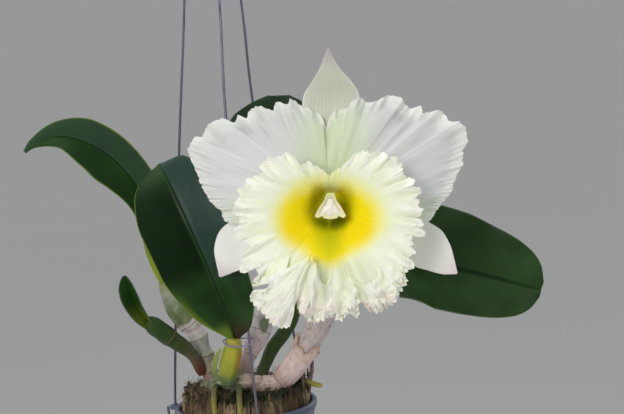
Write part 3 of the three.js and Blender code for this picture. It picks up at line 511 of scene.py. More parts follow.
class Graph:
    """A material's nodes, made with short calls. A value may be a number, a colour or a socket."""

    def __init__(self, name: str) -> None:
        """Starts a material with one principled surface.

        Args:
            name: the material's name.
        """
        self.material = bpy.data.materials.new(name)
        self.material.use_nodes = True
        self.tree = self.material.node_tree
        self.surface = next(n for n in self.tree.nodes if n.type == "BSDF_PRINCIPLED")
        self.places = self.tree.nodes.new("ShaderNodeTexCoord").outputs["Object"]

    def plug(self, socket: Socket, value: object) -> None:
        """Links a socket, or sets its own value.

        Args:
            socket: the input.
            value: what it gets.
        """
        if isinstance(value, Socket):
            self.tree.links.new(value, socket)
        elif isinstance(value, tuple) and socket.type == "RGBA":
            socket.default_value = (*value, 1.0)
        else:
            socket.default_value = value

    def node(self, kind: str, values: dict[int | str, object], output: int | str = 0,
             **traits: str) -> Socket:
        """Makes a node.

        Args:
            kind: the end of the node's type name.
            values: what its inputs get, by place or name.
            output: the output to give.
            **traits: the node's own settings.

        Returns:
            The output.
        """
        made = self.tree.nodes.new("ShaderNode" + kind)
        for trait, value in traits.items():
            setattr(made, trait, value)
        for key, value in values.items():
            self.plug(made.inputs[key], value)
        return made.outputs[output]

    def math(self, operation: str, *values: object) -> Socket:
        """A Math node on the values."""
        return self.node("Math", dict(enumerate(values)), operation=operation)

    def add(self, *values: object) -> Socket:
        """The sum of the values."""
        return reduce(partial(self.math, "ADD"), values)

    def times(self, *values: object) -> Socket:
        """The product of the values."""
        return reduce(partial(self.math, "MULTIPLY"), values)

    def off(self, value: Socket, middle: float) -> Socket:
        """How far a value is from a middle."""
        return self.math("ABSOLUTE", self.math("SUBTRACT", value, middle))

    def smooth(self, value: object, low: float, high: float, start: float = 0.0, end: float = 1.0) -> Socket:
        """A smooth step of the value from start at low to end at high."""
        given = {"Value": value, "From Min": low, "From Max": high, "To Min": start, "To Max": end}
        return self.node("MapRange", given, interpolation_type="SMOOTHSTEP")

    def scaled(self, where: object, scale: Colour) -> Socket:
        """The places stretched by a Mapping node."""
        return self.node("Mapping", {"Vector": where, "Scale": scale})

    def noise(self, where: object, scale: float, detail: float = 2.0, rough: float = 0.5) -> Socket:
        """Noise from 0 to 1 at a number of hills a unit."""
        return self.node("TexNoise", {"Vector": where, "Scale": scale, "Detail": detail, "Roughness": rough})

    def grained(self, across: float, along: float, shift: float = 0.0, detail: float = 3.0,
                rough: float = 0.6) -> Socket:
        """Noise over the piece's own map, with other scales across and along it.

        Args:
            across: hills over U.
            along: hills over V.
            shift: picks another part of the noise.
            detail: how many finer layers it has.
            rough: how strong these are.

        Returns:
            The noise from 0 to 1.
        """
        u, v = self.uv()
        where = self.gathered(self.times(u, across), self.times(v, along), shift)
        return self.noise(where, 1.0, detail, rough)

    def cells(self, where: object) -> Socket:
        """How far a place is from the border of its Voronoi cell."""
        given = {"Vector": where, "Scale": 1.0}
        return self.node("TexVoronoi", given, "Distance", feature="DISTANCE_TO_EDGE")

    def blend(self, a: object, b: object, share: object) -> Socket:
        """Two colours mixed."""
        return self.node("Mix", {0: share, 6: a, 7: b}, 2, data_type="RGBA")

    def painted(self, colour: object, *coats: tuple[object, ...]) -> Socket:
        """Lays coats over a colour in their order.

        Args:
            colour: the colour below.
            *coats: each a colour and its shares, which are multiplied.

        Returns:
            The colour on top.
        """
        for tint, *shares in coats:
            colour = self.blend(colour, tint, self.times(*shares))
        return colour

    def ramp(self, value: object, stops: Stops) -> Socket:
        """A colour by value.

        Args:
            value: where to read it.
            stops: rows of place and colour.

        Returns:
            The colour.
        """
        colour = self.node("ValToRGB", {0: value})
        marks = colour.node.color_ramp.elements
        for _ in stops[2:]:
            marks.new(0.5)
        for mark, (place, tint) in zip(marks, stops):
            mark.position = place
            mark.color = (*tint, 1.0)
        return colour

    def split(self, where: Socket) -> list[Socket]:
        """The three numbers of a vector."""
        return list(self.node("SeparateXYZ", {0: where}).node.outputs)

    def uv(self) -> list[Socket]:
        """The U and V of the piece's own map."""
        return self.split(self.node("UVMap", {}, uv_map="form"))[:2]

    def gathered(self, x: object, y: object, z: object) -> Socket:
        """Three numbers as a vector."""
        return self.node("CombineXYZ", {0: x, 1: y, 2: z})

    def in_flower(self) -> list[Socket]:
        """Dot products of the place, less the flower's middle, with the flower's own directions.

        Returns:
            How far right of and above the flower's middle a place is, in millimetres.
        """
        middle = (np.asarray(FLOWER.middle) - [0, 0, HANG_Z]) / 1000
        local = self.node("VectorMath", {0: self.places, 1: tuple(middle)}, operation="SUBTRACT")
        dots = [self.node("VectorMath", {0: local, 1: tuple(way)}, "Value", operation="DOT_PRODUCT")
                for way in FLOWER.axes()[:2]]
        return [self.times(dot, 1000.0) for dot in dots]

    def spot(self, x: object, y: object, at: Pair, size: Pair, soft: Pair) -> Socket:
        """1 inside an ellipse and 0 outside it: a smooth step on the distance in half sizes.

        Args:
            x: the first coordinate.
            y: the second coordinate.
            at: the ellipse's middle.
            size: its half sizes.
            soft: the distances, in half sizes, where it starts to fade and where it is gone.

        Returns:
            The share from 0 to 1.
        """
        dx = self.math("DIVIDE", self.math("SUBTRACT", x, at[0]), size[0])
        dy = self.math("DIVIDE", self.math("SUBTRACT", y, at[1]), size[1])
        away = self.math("SQRT", self.add(self.times(dx, dx), self.times(dy, dy)))
        return self.smooth(away, soft[0], soft[1], 1.0, 0.0)

    def finished(self, colour: object, rough: object, heights: Sequence[tuple[Socket, float]] = (),
                 glow: tuple[float, Colour] | None = None, **settings: object) -> Material:
        """Plugs the surface and gives the material.

        Args:
            colour: the base colour.
            rough: the roughness.
            heights: the relief, as rows of a height from 0 to 1 and its depth in metres.
            glow: the share of light that passes under the skin, and how far it reaches by colour.
            **settings: other sockets of the surface, with underscores for spaces.

        Returns:
            The finished material.
        """
        given = {"Base Color": colour, "Roughness": rough}
        for height, depth in heights:
            relief = {"Strength": 1.0, "Distance": depth, "Height": height}
            if "Normal" in given:
                relief["Normal"] = given["Normal"]
            given["Normal"] = self.node("Bump", relief)
        if glow:
            given |= {"Subsurface Weight": glow[0], "Subsurface Radius": glow[1], "Subsurface Scale": 0.002}
        for name, value in settings.items():
            given[name.replace("_", " ")] = value
        for name, value in given.items():
            self.plug(self.surface.inputs[name], value)
        return self.material


@dataclass(frozen=True)
class PetalFinish:
    """White petal tissue: fan veins from the foot, a greenish heart, a soft crystalline glow and painted
    shade over its upper part.
    """

    name: str = "petal_white"
    veins: float = 95.0
    white: Colour = (0.73, 0.74, 0.74)
    shade: Colour = (0.54, 0.54, 0.64)
    # Painted shade laid over the petals' upper part.
    upper: Colour = (0.51, 0.52, 0.50)
    heart: Colour = (0.56, 0.68, 0.36)
    margin: Colour = (0.84, 0.85, 0.78)

    def material(self) -> Material:
        """Veins are noise stretched along the petal; the heart is a soft spot over the flower's middle.

        Returns:
            The material.
        """
        g = Graph(self.name)
        _, v = g.uv()
        x, y = g.in_flower()
        fan = g.grained(self.veins, 1.6, rough=0.62)
        broad = g.grained(self.veins * 0.16, 1.2, 3.0, 2.0, 0.5)
        grain = g.noise(g.places, 2600.0)
        colour = g.painted(
            self.white,
            (self.shade, g.smooth(fan, 0.46, 0.66), g.smooth(v, 1.0, 0.55), 0.6),
            (self.shade, g.smooth(broad, 0.4, 0.75), 0.3),
            # Painted shade: the upper colour darkens the petals with height in the flower.
            (self.upper, g.smooth(y, 12.0, 44.0), 0.6),
            (self.heart, g.spot(x, y, (2.0, 36.0), (25.0, 40.0), (0.2, 1.3)), 0.6),
            (self.heart, g.smooth(y, 14.0, -6.0), g.smooth(g.off(x, 0.0), 68.0, 52.0), 0.45),
            (self.margin, g.smooth(v, 0.84, 1.0), 0.7))
        heights = ((fan, 0.0001), (grain, 0.00003))
        return g.finished(colour, 0.6, heights, (0.3, PALE_GLOW), Specular_IOR_Level=0.3)


@dataclass(frozen=True)
class SepalFinish:
    """Sepal tissue: parallel fine veins, a coloured tip, a pale thin edge and painted shade towards the tip.
    """

    name: str
    ground: Colour
    line: Colour
    tip: Colour
    count: float
    # Share of painted shade towards the tip.
    painted_shade_to_tip: float = 0.0
    rim: Colour = (0.86, 0.84, 0.84)

    def material(self) -> Material:
        """Veins are even lines in U, bent a little by noise; the tip's colour comes in with V.

        Returns:
            The material.
        """
        g = Graph(self.name)
        u, v = g.uv()
        bend = g.grained(3.0, 4.0, 0.0, 2.0, 0.5)
        lines = g.math("SINE", g.times(g.add(u, g.times(bend, 0.03)), self.count * 2 * math.pi))
        from_middle = g.off(u, 0.5)
        vein = g.times(g.smooth(lines, 0.1, 1.0), g.smooth(v, 0.95, 0.6), g.smooth(from_middle, 0.48, 0.3))
        fine = g.grained(70.0, 3.0)
        broad = g.noise(g.places, 60.0)
        colour = g.painted(
            self.ground,
            (self.line, vein, 0.12),
            (self.line, g.smooth(fine, 0.45, 0.7), 0.3),
            (self.line, g.smooth(broad, 0.4, 0.7), g.smooth(v, 0.9, 0.5), 0.35),
            # Painted shade: the line colour darkens the sepal from its middle towards its tip.
            (self.line, g.smooth(v, 0.3, 0.75), self.painted_shade_to_tip),
            (self.tip, g.smooth(v, 0.84, 1.0), 0.75),
            (self.rim, g.smooth(from_middle, 0.46, 0.5), 0.5))
        heights = ((vein, 0.00008), (fine, 0.0001))
        return g.finished(colour, 0.55, heights, (0.25, PALE_GLOW), Specular_IOR_Level=0.3)


@dataclass(frozen=True)
class LipFinish:
    """The lip: creamy white ruffles with painted shade in the lower folds, a golden disc with two orange
    blushes and a deep olive throat that is partly painted shade.
    """

    name: str = "lip_cream"
    cream: Colour = (0.91, 0.92, 0.79)
    green: Colour = (0.74, 0.84, 0.48)
    lemon: Colour = (0.90, 0.84, 0.20)
    gold: Colour = (0.95, 0.76, 0.001)
    orange: Colour = (0.96, 0.66, 0.0005)
    moss: Colour = (0.52, 0.52, 0.004)
    # The throat's own olive, also laid as painted shade beside and under the column.
    olive: Colour = (0.19, 0.22, 0.002)
    ridge: Colour = (0.84, 0.90, 0.50)
    pink: Colour = (0.88, 0.70, 0.68)
    # Painted shade for the folds of the lower lip.
    fold_shade: Colour = (0.56, 0.58, 0.36)
    brown: Colour = (0.34, 0.18, 0.08)

    def material(self) -> Material:
        """Spots laid over each other by their place in the flower, with noise in the disc's edge.

        Returns:
            The material.
        """
        g = Graph(self.name)
        _, v = g.uv()
        x, y = g.in_flower()
        rays = g.math("SUBTRACT", g.grained(90.0, 3.0), 0.5)
        wander = g.math("SUBTRACT", g.noise(g.places, 90.0), 0.5)
        at = partial(g.spot, g.add(x, g.times(wander, 4.0)), g.add(y, g.times(wander, -4.0)))
        ribs = g.grained(120.0, 2.5)
        soft = g.grained(38.0, 2.0, 5.0, 2.0, 0.5)
        grain = g.noise(g.places, 2400.0)
        rosy = g.times(g.smooth(y, -38.0, -60.0), g.smooth(g.noise(g.places, 160.0, 3.0), 0.45, 0.66))
        disc = g.math("MAXIMUM", at((-1.0, -8.0), (33.0, 22.0), (0.66, 1.04)),
                      at((-1.5, -21.0), (17.0, 16.0), (0.5, 1.1)))
        disc = g.times(disc, g.add(1.0, g.times(at((0.0, 17.0), (13.0, 9.0), (0.4, 1.1)), -0.8)))
        blush = g.math("MAXIMUM", at((-19.0, -13.0), (12.0, 13.0), (0.1, 1.2)),
                       at((16.0, -15.0), (11.0, 12.0), (0.1, 1.2)))
        seam = g.times(g.smooth(g.off(x, -0.5), 1.8, 0.2), g.smooth(y, -38.0, -14.0), g.smooth(y, 2.0, -4.0))
        speck = g.times(g.smooth(g.noise(g.places, 420.0), 0.745, 0.78), g.smooth(v, 0.45, 0.7))
        colour = g.painted(
            self.cream,
            (self.green, g.smooth(soft, 0.5, 0.72), g.smooth(v, 1.0, 0.8), 0.4),
            (self.pink, rosy, g.smooth(v, 0.7, 1.0), 0.7),
            (self.green, at((0.0, -9.0), (42.0, 36.0), (0.7, 1.1)), 0.42),
            # Painted shade: a darker khaki in the folds of the lower lobe, broken by noise.
            (self.fold_shade, at((4.0, -42.0), (28.0, 16.0), (0.3, 1.2)), g.smooth(soft, 0.35, 0.6, 0.2, 0.6)),
            (self.lemon, at((-0.5, -7.0), (36.0, 27.0), (0.7, 1.05)), 0.75),
            (self.gold, g.math("MINIMUM", g.times(disc, g.add(1.0, g.times(rays, 0.5))), 1.0)),
            (self.orange, blush, 0.6),
            (self.moss, at((0.5, -3.0), (15.0, 15.0), (0.4, 1.2)), 0.75),
            (self.moss, at((-0.5, -18.0), (10.0, 18.0), (0.2, 1.3)), 0.75),
            # Partly painted shade: these olive spots deepen the throat's colour beside and under the column,
            # where the column shades it.
            (self.olive, at((0.5, -9.5), (12.0, 6.5), (0.3, 1.15)), 0.85),
            (self.olive, at((-7.0, 5.0), (6.0, 9.0), (0.3, 1.15)), 0.42),
            (self.olive, at((8.5, 4.0), (7.0, 10.0), (0.3, 1.15)), 0.3),
            (self.ridge, g.spot(x, y, (0.4, 15.5), (6.0, 10.5), (0.4, 1.15)), 0.9),
            (self.moss, seam, 0.6),
            (self.brown, speck, 0.4))
        heights = ((ribs, 0.00012), (soft, 0.0003), (grain, 0.00003))
        return g.finished(colour, 0.65, heights, (0.25, WARM_GLOW), Specular_IOR_Level=0.12)


@dataclass(frozen=True)
class ColumnFinish:
    """The waxy column: cream with a yellow-green back, and pinkish where the anther cap sits."""

    name: str
    ground: Colour
    tint: Colour
    blush: Colour

    def material(self) -> Material:
        """Three colours mixed by broad and fine noise over a faint grain.

        Returns:
            The material.
        """
        g = Graph(self.name)
        broad = g.noise(g.places, 170.0)
        fine = g.noise(g.places, 700.0)
        colour = g.painted(self.ground, (self.tint, g.smooth(broad, 0.4, 0.65)),
                           (self.blush, g.smooth(fine, 0.45, 0.65), 0.6))
        return g.finished(colour, 0.38, ((fine, 0.0002),), (0.25, (1.0, 0.8, 0.6)), Coat_Weight=0.15,
                          Coat_Roughness=0.3)


@dataclass(frozen=True)
class LeafFinish:
    """A thick waxy leaf: mottled green, a channelled midrib, a thin pale rim, a yellowish foot, and painted
    sheen and painted shade on its halves.
    """

    name: str
    deep: Colour = (0.006, 0.027, 0.003)
    light: Colour = (0.017, 0.056, 0.007)
    rim: Colour = (0.20, 0.27, 0.06)
    foot: Colour = (0.18, 0.25, 0.02)
    foot_end: float = 0.14
    foot_side: float = 0.0
    rim_share: float = 0.6
    rim_width: float = 0.02
    midrib: Colour = (0.006, 0.014, 0.006)
    midrib_width: float = 0.022
    # Painted sheen: a cool bluish reflection, and its share.
    painted_sheen: Colour = (0.020, 0.046, 0.040)
    painted_sheen_share: float = 0.0
    # Share of painted shade on the half turned away from the light.
    painted_half_shade_share: float = 0.0
    speck: Colour = (0.045, 0.012, 0.010)

    def material(self) -> Material:
        """Noise of two sizes mixes the greens; rim, midrib, foot, painted sheen and painted shade follow the
        leaf's own map.

        Returns:
            The material.
        """
        g = Graph(self.name)
        u, v = g.uv()
        from_middle = g.off(u, 0.5)
        broad = g.noise(g.places, 28.0, 3.0, 0.55)
        fine = g.grained(90.0, 5.0)
        middle = g.smooth(from_middle, self.midrib_width, 0.004)
        # Painted shade: the half below u = 0.5, turned away from the light, is darkened with the midrib's
        # colour over most of its length; its gloss is lowered there too.
        painted_half_shade = 0.0
        if self.painted_half_shade_share:
            painted_half_shade = g.times(g.smooth(u, 0.5, 0.44), g.smooth(v, 0.3, 0.45), g.smooth(v, 0.98, 0.7))
        speck = g.times(g.smooth(g.noise(g.places, 300.0), 0.66, 0.72), g.smooth(from_middle, 0.16, 0.02),
                        g.smooth(v, 0.5, 0.2))
        colour = g.painted(
            self.deep,
            (self.light, g.smooth(broad, 0.35, 0.7)),
            (self.light, g.smooth(fine, 0.45, 0.75), 0.35),
            # Painted sheen: a bluish reflection laid on one half, from a quarter to half way along.
            (self.painted_sheen, g.smooth(u, 0.49, 0.53), g.smooth(v, 0.22, 0.5), self.painted_sheen_share),
            # Painted shade on the turned-away half.
            (self.midrib, painted_half_shade, self.painted_half_shade_share),
            (self.midrib, middle, g.smooth(v, 0.97, 0.8), 0.75),
            (self.speck, speck, 0.8))
        base = g.smooth(v, self.foot_end, self.foot_end * 0.25)
        if self.foot_side:
            colour = g.blend(colour, self.speck, g.times(base, g.smooth(u, 0.45, 0.62), 0.75))
            edging = g.times(g.smooth(u, self.foot_side, 0.0), g.smooth(v, 0.45, 0.1))
            base = g.math("MAXIMUM", g.times(base, g.smooth(u, 0.5, 0.3)), edging)
        edge = g.smooth(from_middle, 0.5 - self.rim_width, 0.5 - self.rim_width * 0.3)
        colour = g.painted(colour, (self.foot, base), (self.rim, edge, self.rim_share))
        rough = g.add(g.smooth(g.noise(g.places, 60.0, 3.0), 0.3, 0.8, 0.36, 0.5), g.times(middle, 0.3))
        shine = g.smooth(g.math("MAXIMUM", middle, painted_half_shade), 0.0, 1.0, 0.2, 0.04)
        heights = ((fine, 0.00012), (g.noise(g.places, 220.0), 0.0002))
        return g.finished(colour, rough, heights, Specular_IOR_Level=shine, Coat_Weight=0.02,
                          Coat_Roughness=0.3, Coat_Tint=(0.85, 0.95, 1.0))


@dataclass(frozen=True)
class StemFinish:
    """A stem's skin: colours along its length, lengthwise fibres, blotches, specks and rings at the joints.
    The mark is an oval given by its middle and half sizes in U and V."""

    name: str
    stops: Stops
    blotch: Colour
    blotch_share: float = 0.5
    fibre: float = 0.5
    speck_share: float = 0.0
    rings: tuple[float, ...] = ()
    rough: float = 0.6
    soft: float = 0.1
    mark: tuple[float, float, float, float] | None = None
    mark_colour: Colour = (0.10, 0.18, 0.04)
    shadow: Colour = (0.12, 0.09, 0.06)
    speck: Colour = (0.05, 0.045, 0.03)
    joint: Colour = (0.14, 0.10, 0.06)

    def material(self) -> Material:
        """Noise stretched along V gives the fibres; each ring is a thin dark line across them.

        Returns:
            The material.
        """
        g = Graph(self.name)
        u, v = g.uv()
        drift = g.math("SUBTRACT", g.noise(g.places, 110.0), 0.5)
        place = g.add(v, g.times(drift, 0.06))
        round_it = g.times(u, 2 * math.pi)
        across = g.gathered(g.math("COSINE", round_it), g.math("SINE", round_it), g.times(v, 2.2))
        thread = g.noise(g.scaled(across, (9.0, 9.0, 1.0)), 1.0, 4.0, 0.65)
        patch = g.noise(g.places, 190.0, 3.0, 0.6)
        grime = g.noise(g.scaled(across, (3.0, 3.0, 2.0)), 1.0, 4.0, 0.7)
        blotches = (self.blotch, g.smooth(patch, 0.48, 0.68), self.blotch_share)
        clean = g.painted(g.ramp(place, self.stops), blotches)
        dark = g.blend(clean, self.shadow, 0.6)
        colour = g.painted(clean, (dark, g.smooth(thread, 0.5, 0.8), self.fibre),
                           (dark, g.smooth(grime, 0.52, 0.72), self.fibre, 0.8))
        if self.mark:
            oval = g.spot(g.add(u, g.times(drift, 0.1)), place, self.mark[:2], self.mark[2:], (0.6, 1.1))
            colour = g.blend(colour, self.mark_colour, g.times(oval, 0.85))
        dot = g.smooth(g.noise(g.places, 520.0, 3.0, 0.6), 0.62, 0.68)
        scribble = g.smooth(g.off(g.noise(g.places, 240.0), 0.5), 0.012, 0.004)
        marks = g.math("MAXIMUM", dot, g.times(scribble, g.smooth(patch, 0.5, 0.6)))
        joints = ((self.joint, g.smooth(g.off(place, at), 0.014, 0.002), 0.6) for at in self.rings)
        colour = g.painted(colour, (self.speck, marks, self.speck_share), *joints)
        return g.finished(colour, self.rough, ((thread, 0.0005), (patch, 0.0003)), (self.soft, WARM_GLOW),
                          Specular_IOR_Level=0.28)


@dataclass(frozen=True)
class HuskFinish:
    """Dry coconut husk: upright fibres from dark brown to pale tan, damp and greenish in places."""

    name: str
    brown: Colour
    tan: Colour
    dark: Colour = (0.030, 0.018, 0.010)
    damp: Colour = (0.035, 0.042, 0.014)
    top: float = (86.5 - HANG_Z) / 1000

    def material(self) -> Material:
        """Noise stretched along z, cracks between upright cells, and broader blotches over it.

        Returns:
            The material.
        """
        g = Graph(self.name)
        fibre = g.noise(g.scaled(g.places, (1300.0, 1300.0, 45.0)), 1.0, 4.0, 0.65)
        bundle = g.noise(g.scaled(g.places, (170.0, 170.0, 12.0)), 1.0, 3.0, 0.6)
        broad = g.noise(g.places, 75.0, 3.0, 0.6)
        cells = g.cells(g.scaled(g.places, (95.0, 95.0, 9.0)))
        shard = g.noise(g.scaled(g.places, (85.0, 85.0, 7.0)), 1.0, 2.0)
        _, _, z = g.split(g.places)
        colour = g.painted(
            self.brown,
            (self.tan, g.smooth(shard, 0.42, 0.6)),
            (self.tan, g.smooth(bundle, 0.5, 0.68), 0.6),
            (self.dark, g.smooth(bundle, 0.45, 0.28), 0.8),
            (self.dark, g.smooth(fibre, 0.48, 0.3), 0.55),
            (self.dark, g.smooth(cells, 0.06, 0.0), 0.9),
            (self.damp, g.smooth(broad, 0.5, 0.7), 0.65),
            (self.dark, g.smooth(z, self.top - 0.002, self.top + 0.003), g.smooth(broad, 0.62, 0.42), 0.8))
        heights = ((g.smooth(cells, 0.0, 0.12), 0.0012), (bundle, 0.0016), (fibre, 0.0007))
        return g.finished(colour, 0.92, heights)


@dataclass(frozen=True)
class MossFinish:
    """Damp moss and humus, nearly black between green tips."""

    name: str
    dark: Colour
    tip: Colour

    def material(self) -> Material:
        """The colour rises from dark to the tip along each strand, with noise from strand to strand.

        Returns:
            The material.
        """
        g = Graph(self.name)
        _, v = g.uv()
        vary = g.noise(g.places, 240.0)
        colour = g.painted(self.dark, (self.tip, g.smooth(v, 0.1, 0.9), g.smooth(vary, 0.35, 0.65)))
        return g.finished(colour, 0.9)


@dataclass(frozen=True)
class PlasticFinish:
    """Moulded blue-grey plastic, a little cloudy, with dust and lime in patches."""

    name: str = "basket_plastic"
    ground: Colour = (0.10, 0.13, 0.21)
    dust: Colour = (0.20, 0.22, 0.26)

    def material(self) -> Material:
        """Broad noise mixes in the dust, fine noise roughens the gloss and the surface.

        Returns:
            The material.
        """
        g = Graph(self.name)
        broad = g.noise(g.places, 60.0, 4.0, 0.6)
        fine = g.noise(g.places, 900.0, 3.0)
        colour = g.painted(self.ground, (self.dust, g.smooth(broad, 0.45, 0.75), 0.45))
        return g.finished(colour, g.smooth(fine, 0.3, 0.7, 0.3, 0.5), ((fine, 0.00008), (broad, 0.0003)),
                          Transmission_Weight=0.35, IOR=1.49)


@dataclass(frozen=True)
class WireFinish:
    """Drawn wire: metallic, with dull spots where its coat has weathered."""

    name: str
    bright: Colour
    dull: Colour
    metal: float
    rough: float

    def material(self) -> Material:
        """Noise stretched along z mixes bright and dull, and roughens the dull parts.

        Returns:
            The material.
        """
        g = Graph(self.name)
        streak = g.noise(g.scaled(g.places, (800.0, 800.0, 60.0)), 1.0, 3.0)
        colour = g.painted(self.bright, (self.dull, g.smooth(streak, 0.45, 0.7)))
        rough = g.smooth(streak, 0.4, 0.8, self.rough, self.rough + 0.25)
        return g.finished(colour, rough, ((streak, 0.00005),), Metallic=self.metal)


class Slot(Enum):
    """The record's material slots."""

    BASKET = "basket_plastic"
    HUSK = "coconut_husk"
    PAPERY = "papery_stem"
    GREEN = "green_stem"
    SHEATH = "sheath_paper"
    LEAF = "leaf_green"
    ROOT = "root_skin"
    PETAL = "petal_white"
    LIP = "lip_cream"
    COLUMN = "column_wax"
    WIRE = "hanger_wire"
    TIE = "tie_wire"


def piece(name: str, shape: Shape, material: Material, slot: Slot, nodes: Sequence[str] = (),
          crease: float = 50.0) -> bpy.types.Object:
    """Makes a piece that rides on the plant's only body.

    Args:
        name: the piece's name.
        shape: its closed shape.
        material: its material.
        slot: the record's slot for its finish; not used.
        nodes: the solids that it stands for.
        crease: edges bent more than this many degrees stay sharp.

    Returns:
        The new object.
    """
    mesh = shape.mesh(name)
    mesh.materials.append(material)
    mesh.shade_smooth()
    mesh.set_sharp_from_angle(angle=math.radians(crease))
    made = bpy.data.objects.new(name, mesh)
    bpy.context.scene.collection.objects.link(made)
    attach(made, "root")
    if nodes:
        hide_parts(*nodes)
    LOG.info("%s: %d faces", name, len(mesh.polygons))
    return made


@dataclass(frozen=True)
class Blade:
    """A leaf or sepal along a curved spine. Half widths are rows of share, left and right. Bend turns each
    half towards the face, in degrees at foot and tip, and recurve bends the edges away again."""

    path: Table
    across: Table
    widths: Table
    bend: Table = ((0, 0), (0, 0))
    tip: float = 1.5
    recurve: float = 0.0
    crease: float = 0.8
    wander: float = 0.0
    seed: int = 1

    def grid(self, rows: int, columns: int) -> tuple[Array, Array, Array]:
        """The spine carried across: spine + side * w cos(bend) + face * (w sin(bend) - recurve v^2), with w
        the half width at that share times |v|, softened at the midrib so that the channel's bottom is round.

        Args:
            rows: steps along.
            columns: steps across.

        Returns:
            The points, and the share along and the place across (-1 to 1) of each.
        """
        s = 1 - (1 - np.linspace(0, 1, rows + 1)) ** self.tip
        v = np.linspace(-1, 1, columns + 1)[None, :]
        spine = Path(self.path)
        ahead = spine.ahead(s)
        side = Path(self.across).by_point(s)
        side = unit(side - ahead * np.sum(side * ahead, axis=1, keepdims=True))
        face = np.cross(side, ahead)
        share = s[:, None]
        right = v >= 0
        half = np.where(right, read(self.widths, share, 2), read(self.widths, share, 1))
        at_foot, at_tip = (np.where(right, pair[1], pair[0]) for pair in self.bend)
        turn = np.radians(mix(at_foot, at_tip, share))
        w = np.abs(v) * half
        rise = (np.sqrt(w * w + self.crease ** 2) - self.crease) * np.sin(turn) - self.recurve * v * v
        grid = spine.at(s)[:, None] + side[:, None] * (np.sign(v) * w * np.cos(turn))[..., None]
        grid = grid + face[:, None] * rise[..., None]
        if self.wander:
            stray = rumple(spread(share * 7, v * 1.2), 1.6, self.seed) * self.wander
            grid = grid + face[:, None] * (stray * ease(share * 5) * np.abs(v) ** 1.2)[..., None]
        return grid, np.broadcast_to(share, w.shape), np.broadcast_to(v, w.shape)

    def leaf(self, rows: int = 90, columns: int = 36) -> Shape:
        """A thick leaf: rounded at its edges, with a keel under the midrib.

        Args:
            rows: steps along.
            columns: steps across.

        Returns:
            The closed leaf.
        """
        grid, s, v = self.grid(rows, columns)
        rounding = np.sqrt(np.clip(1 - np.abs(v) ** 8, 0.06, 1))
        keel = 0.9 * np.exp(-(v / 0.05) ** 2) * ease((1 - s) * 3)
        return sheet(grid, LEAF_HALF * rounding, LEAF_HALF * rounding + keel, v=s[:, 0])

    def sepal(self, rows: int = 70, columns: int = 36) -> Shape:
        """A thin sepal, rounded at its edges.

        Args:
            rows: steps along.
            columns: steps across.

        Returns:
            The closed sepal.
        """
        grid, s, v = self.grid(rows, columns)
        grid = FLOWER.place(grid)
        rounding = np.sqrt(np.clip(1 - np.abs(v) ** 6, 0.15, 1))
        return sheet(grid, PETAL_HALF * rounding, PETAL_HALF * rounding, v=s[:, 0])


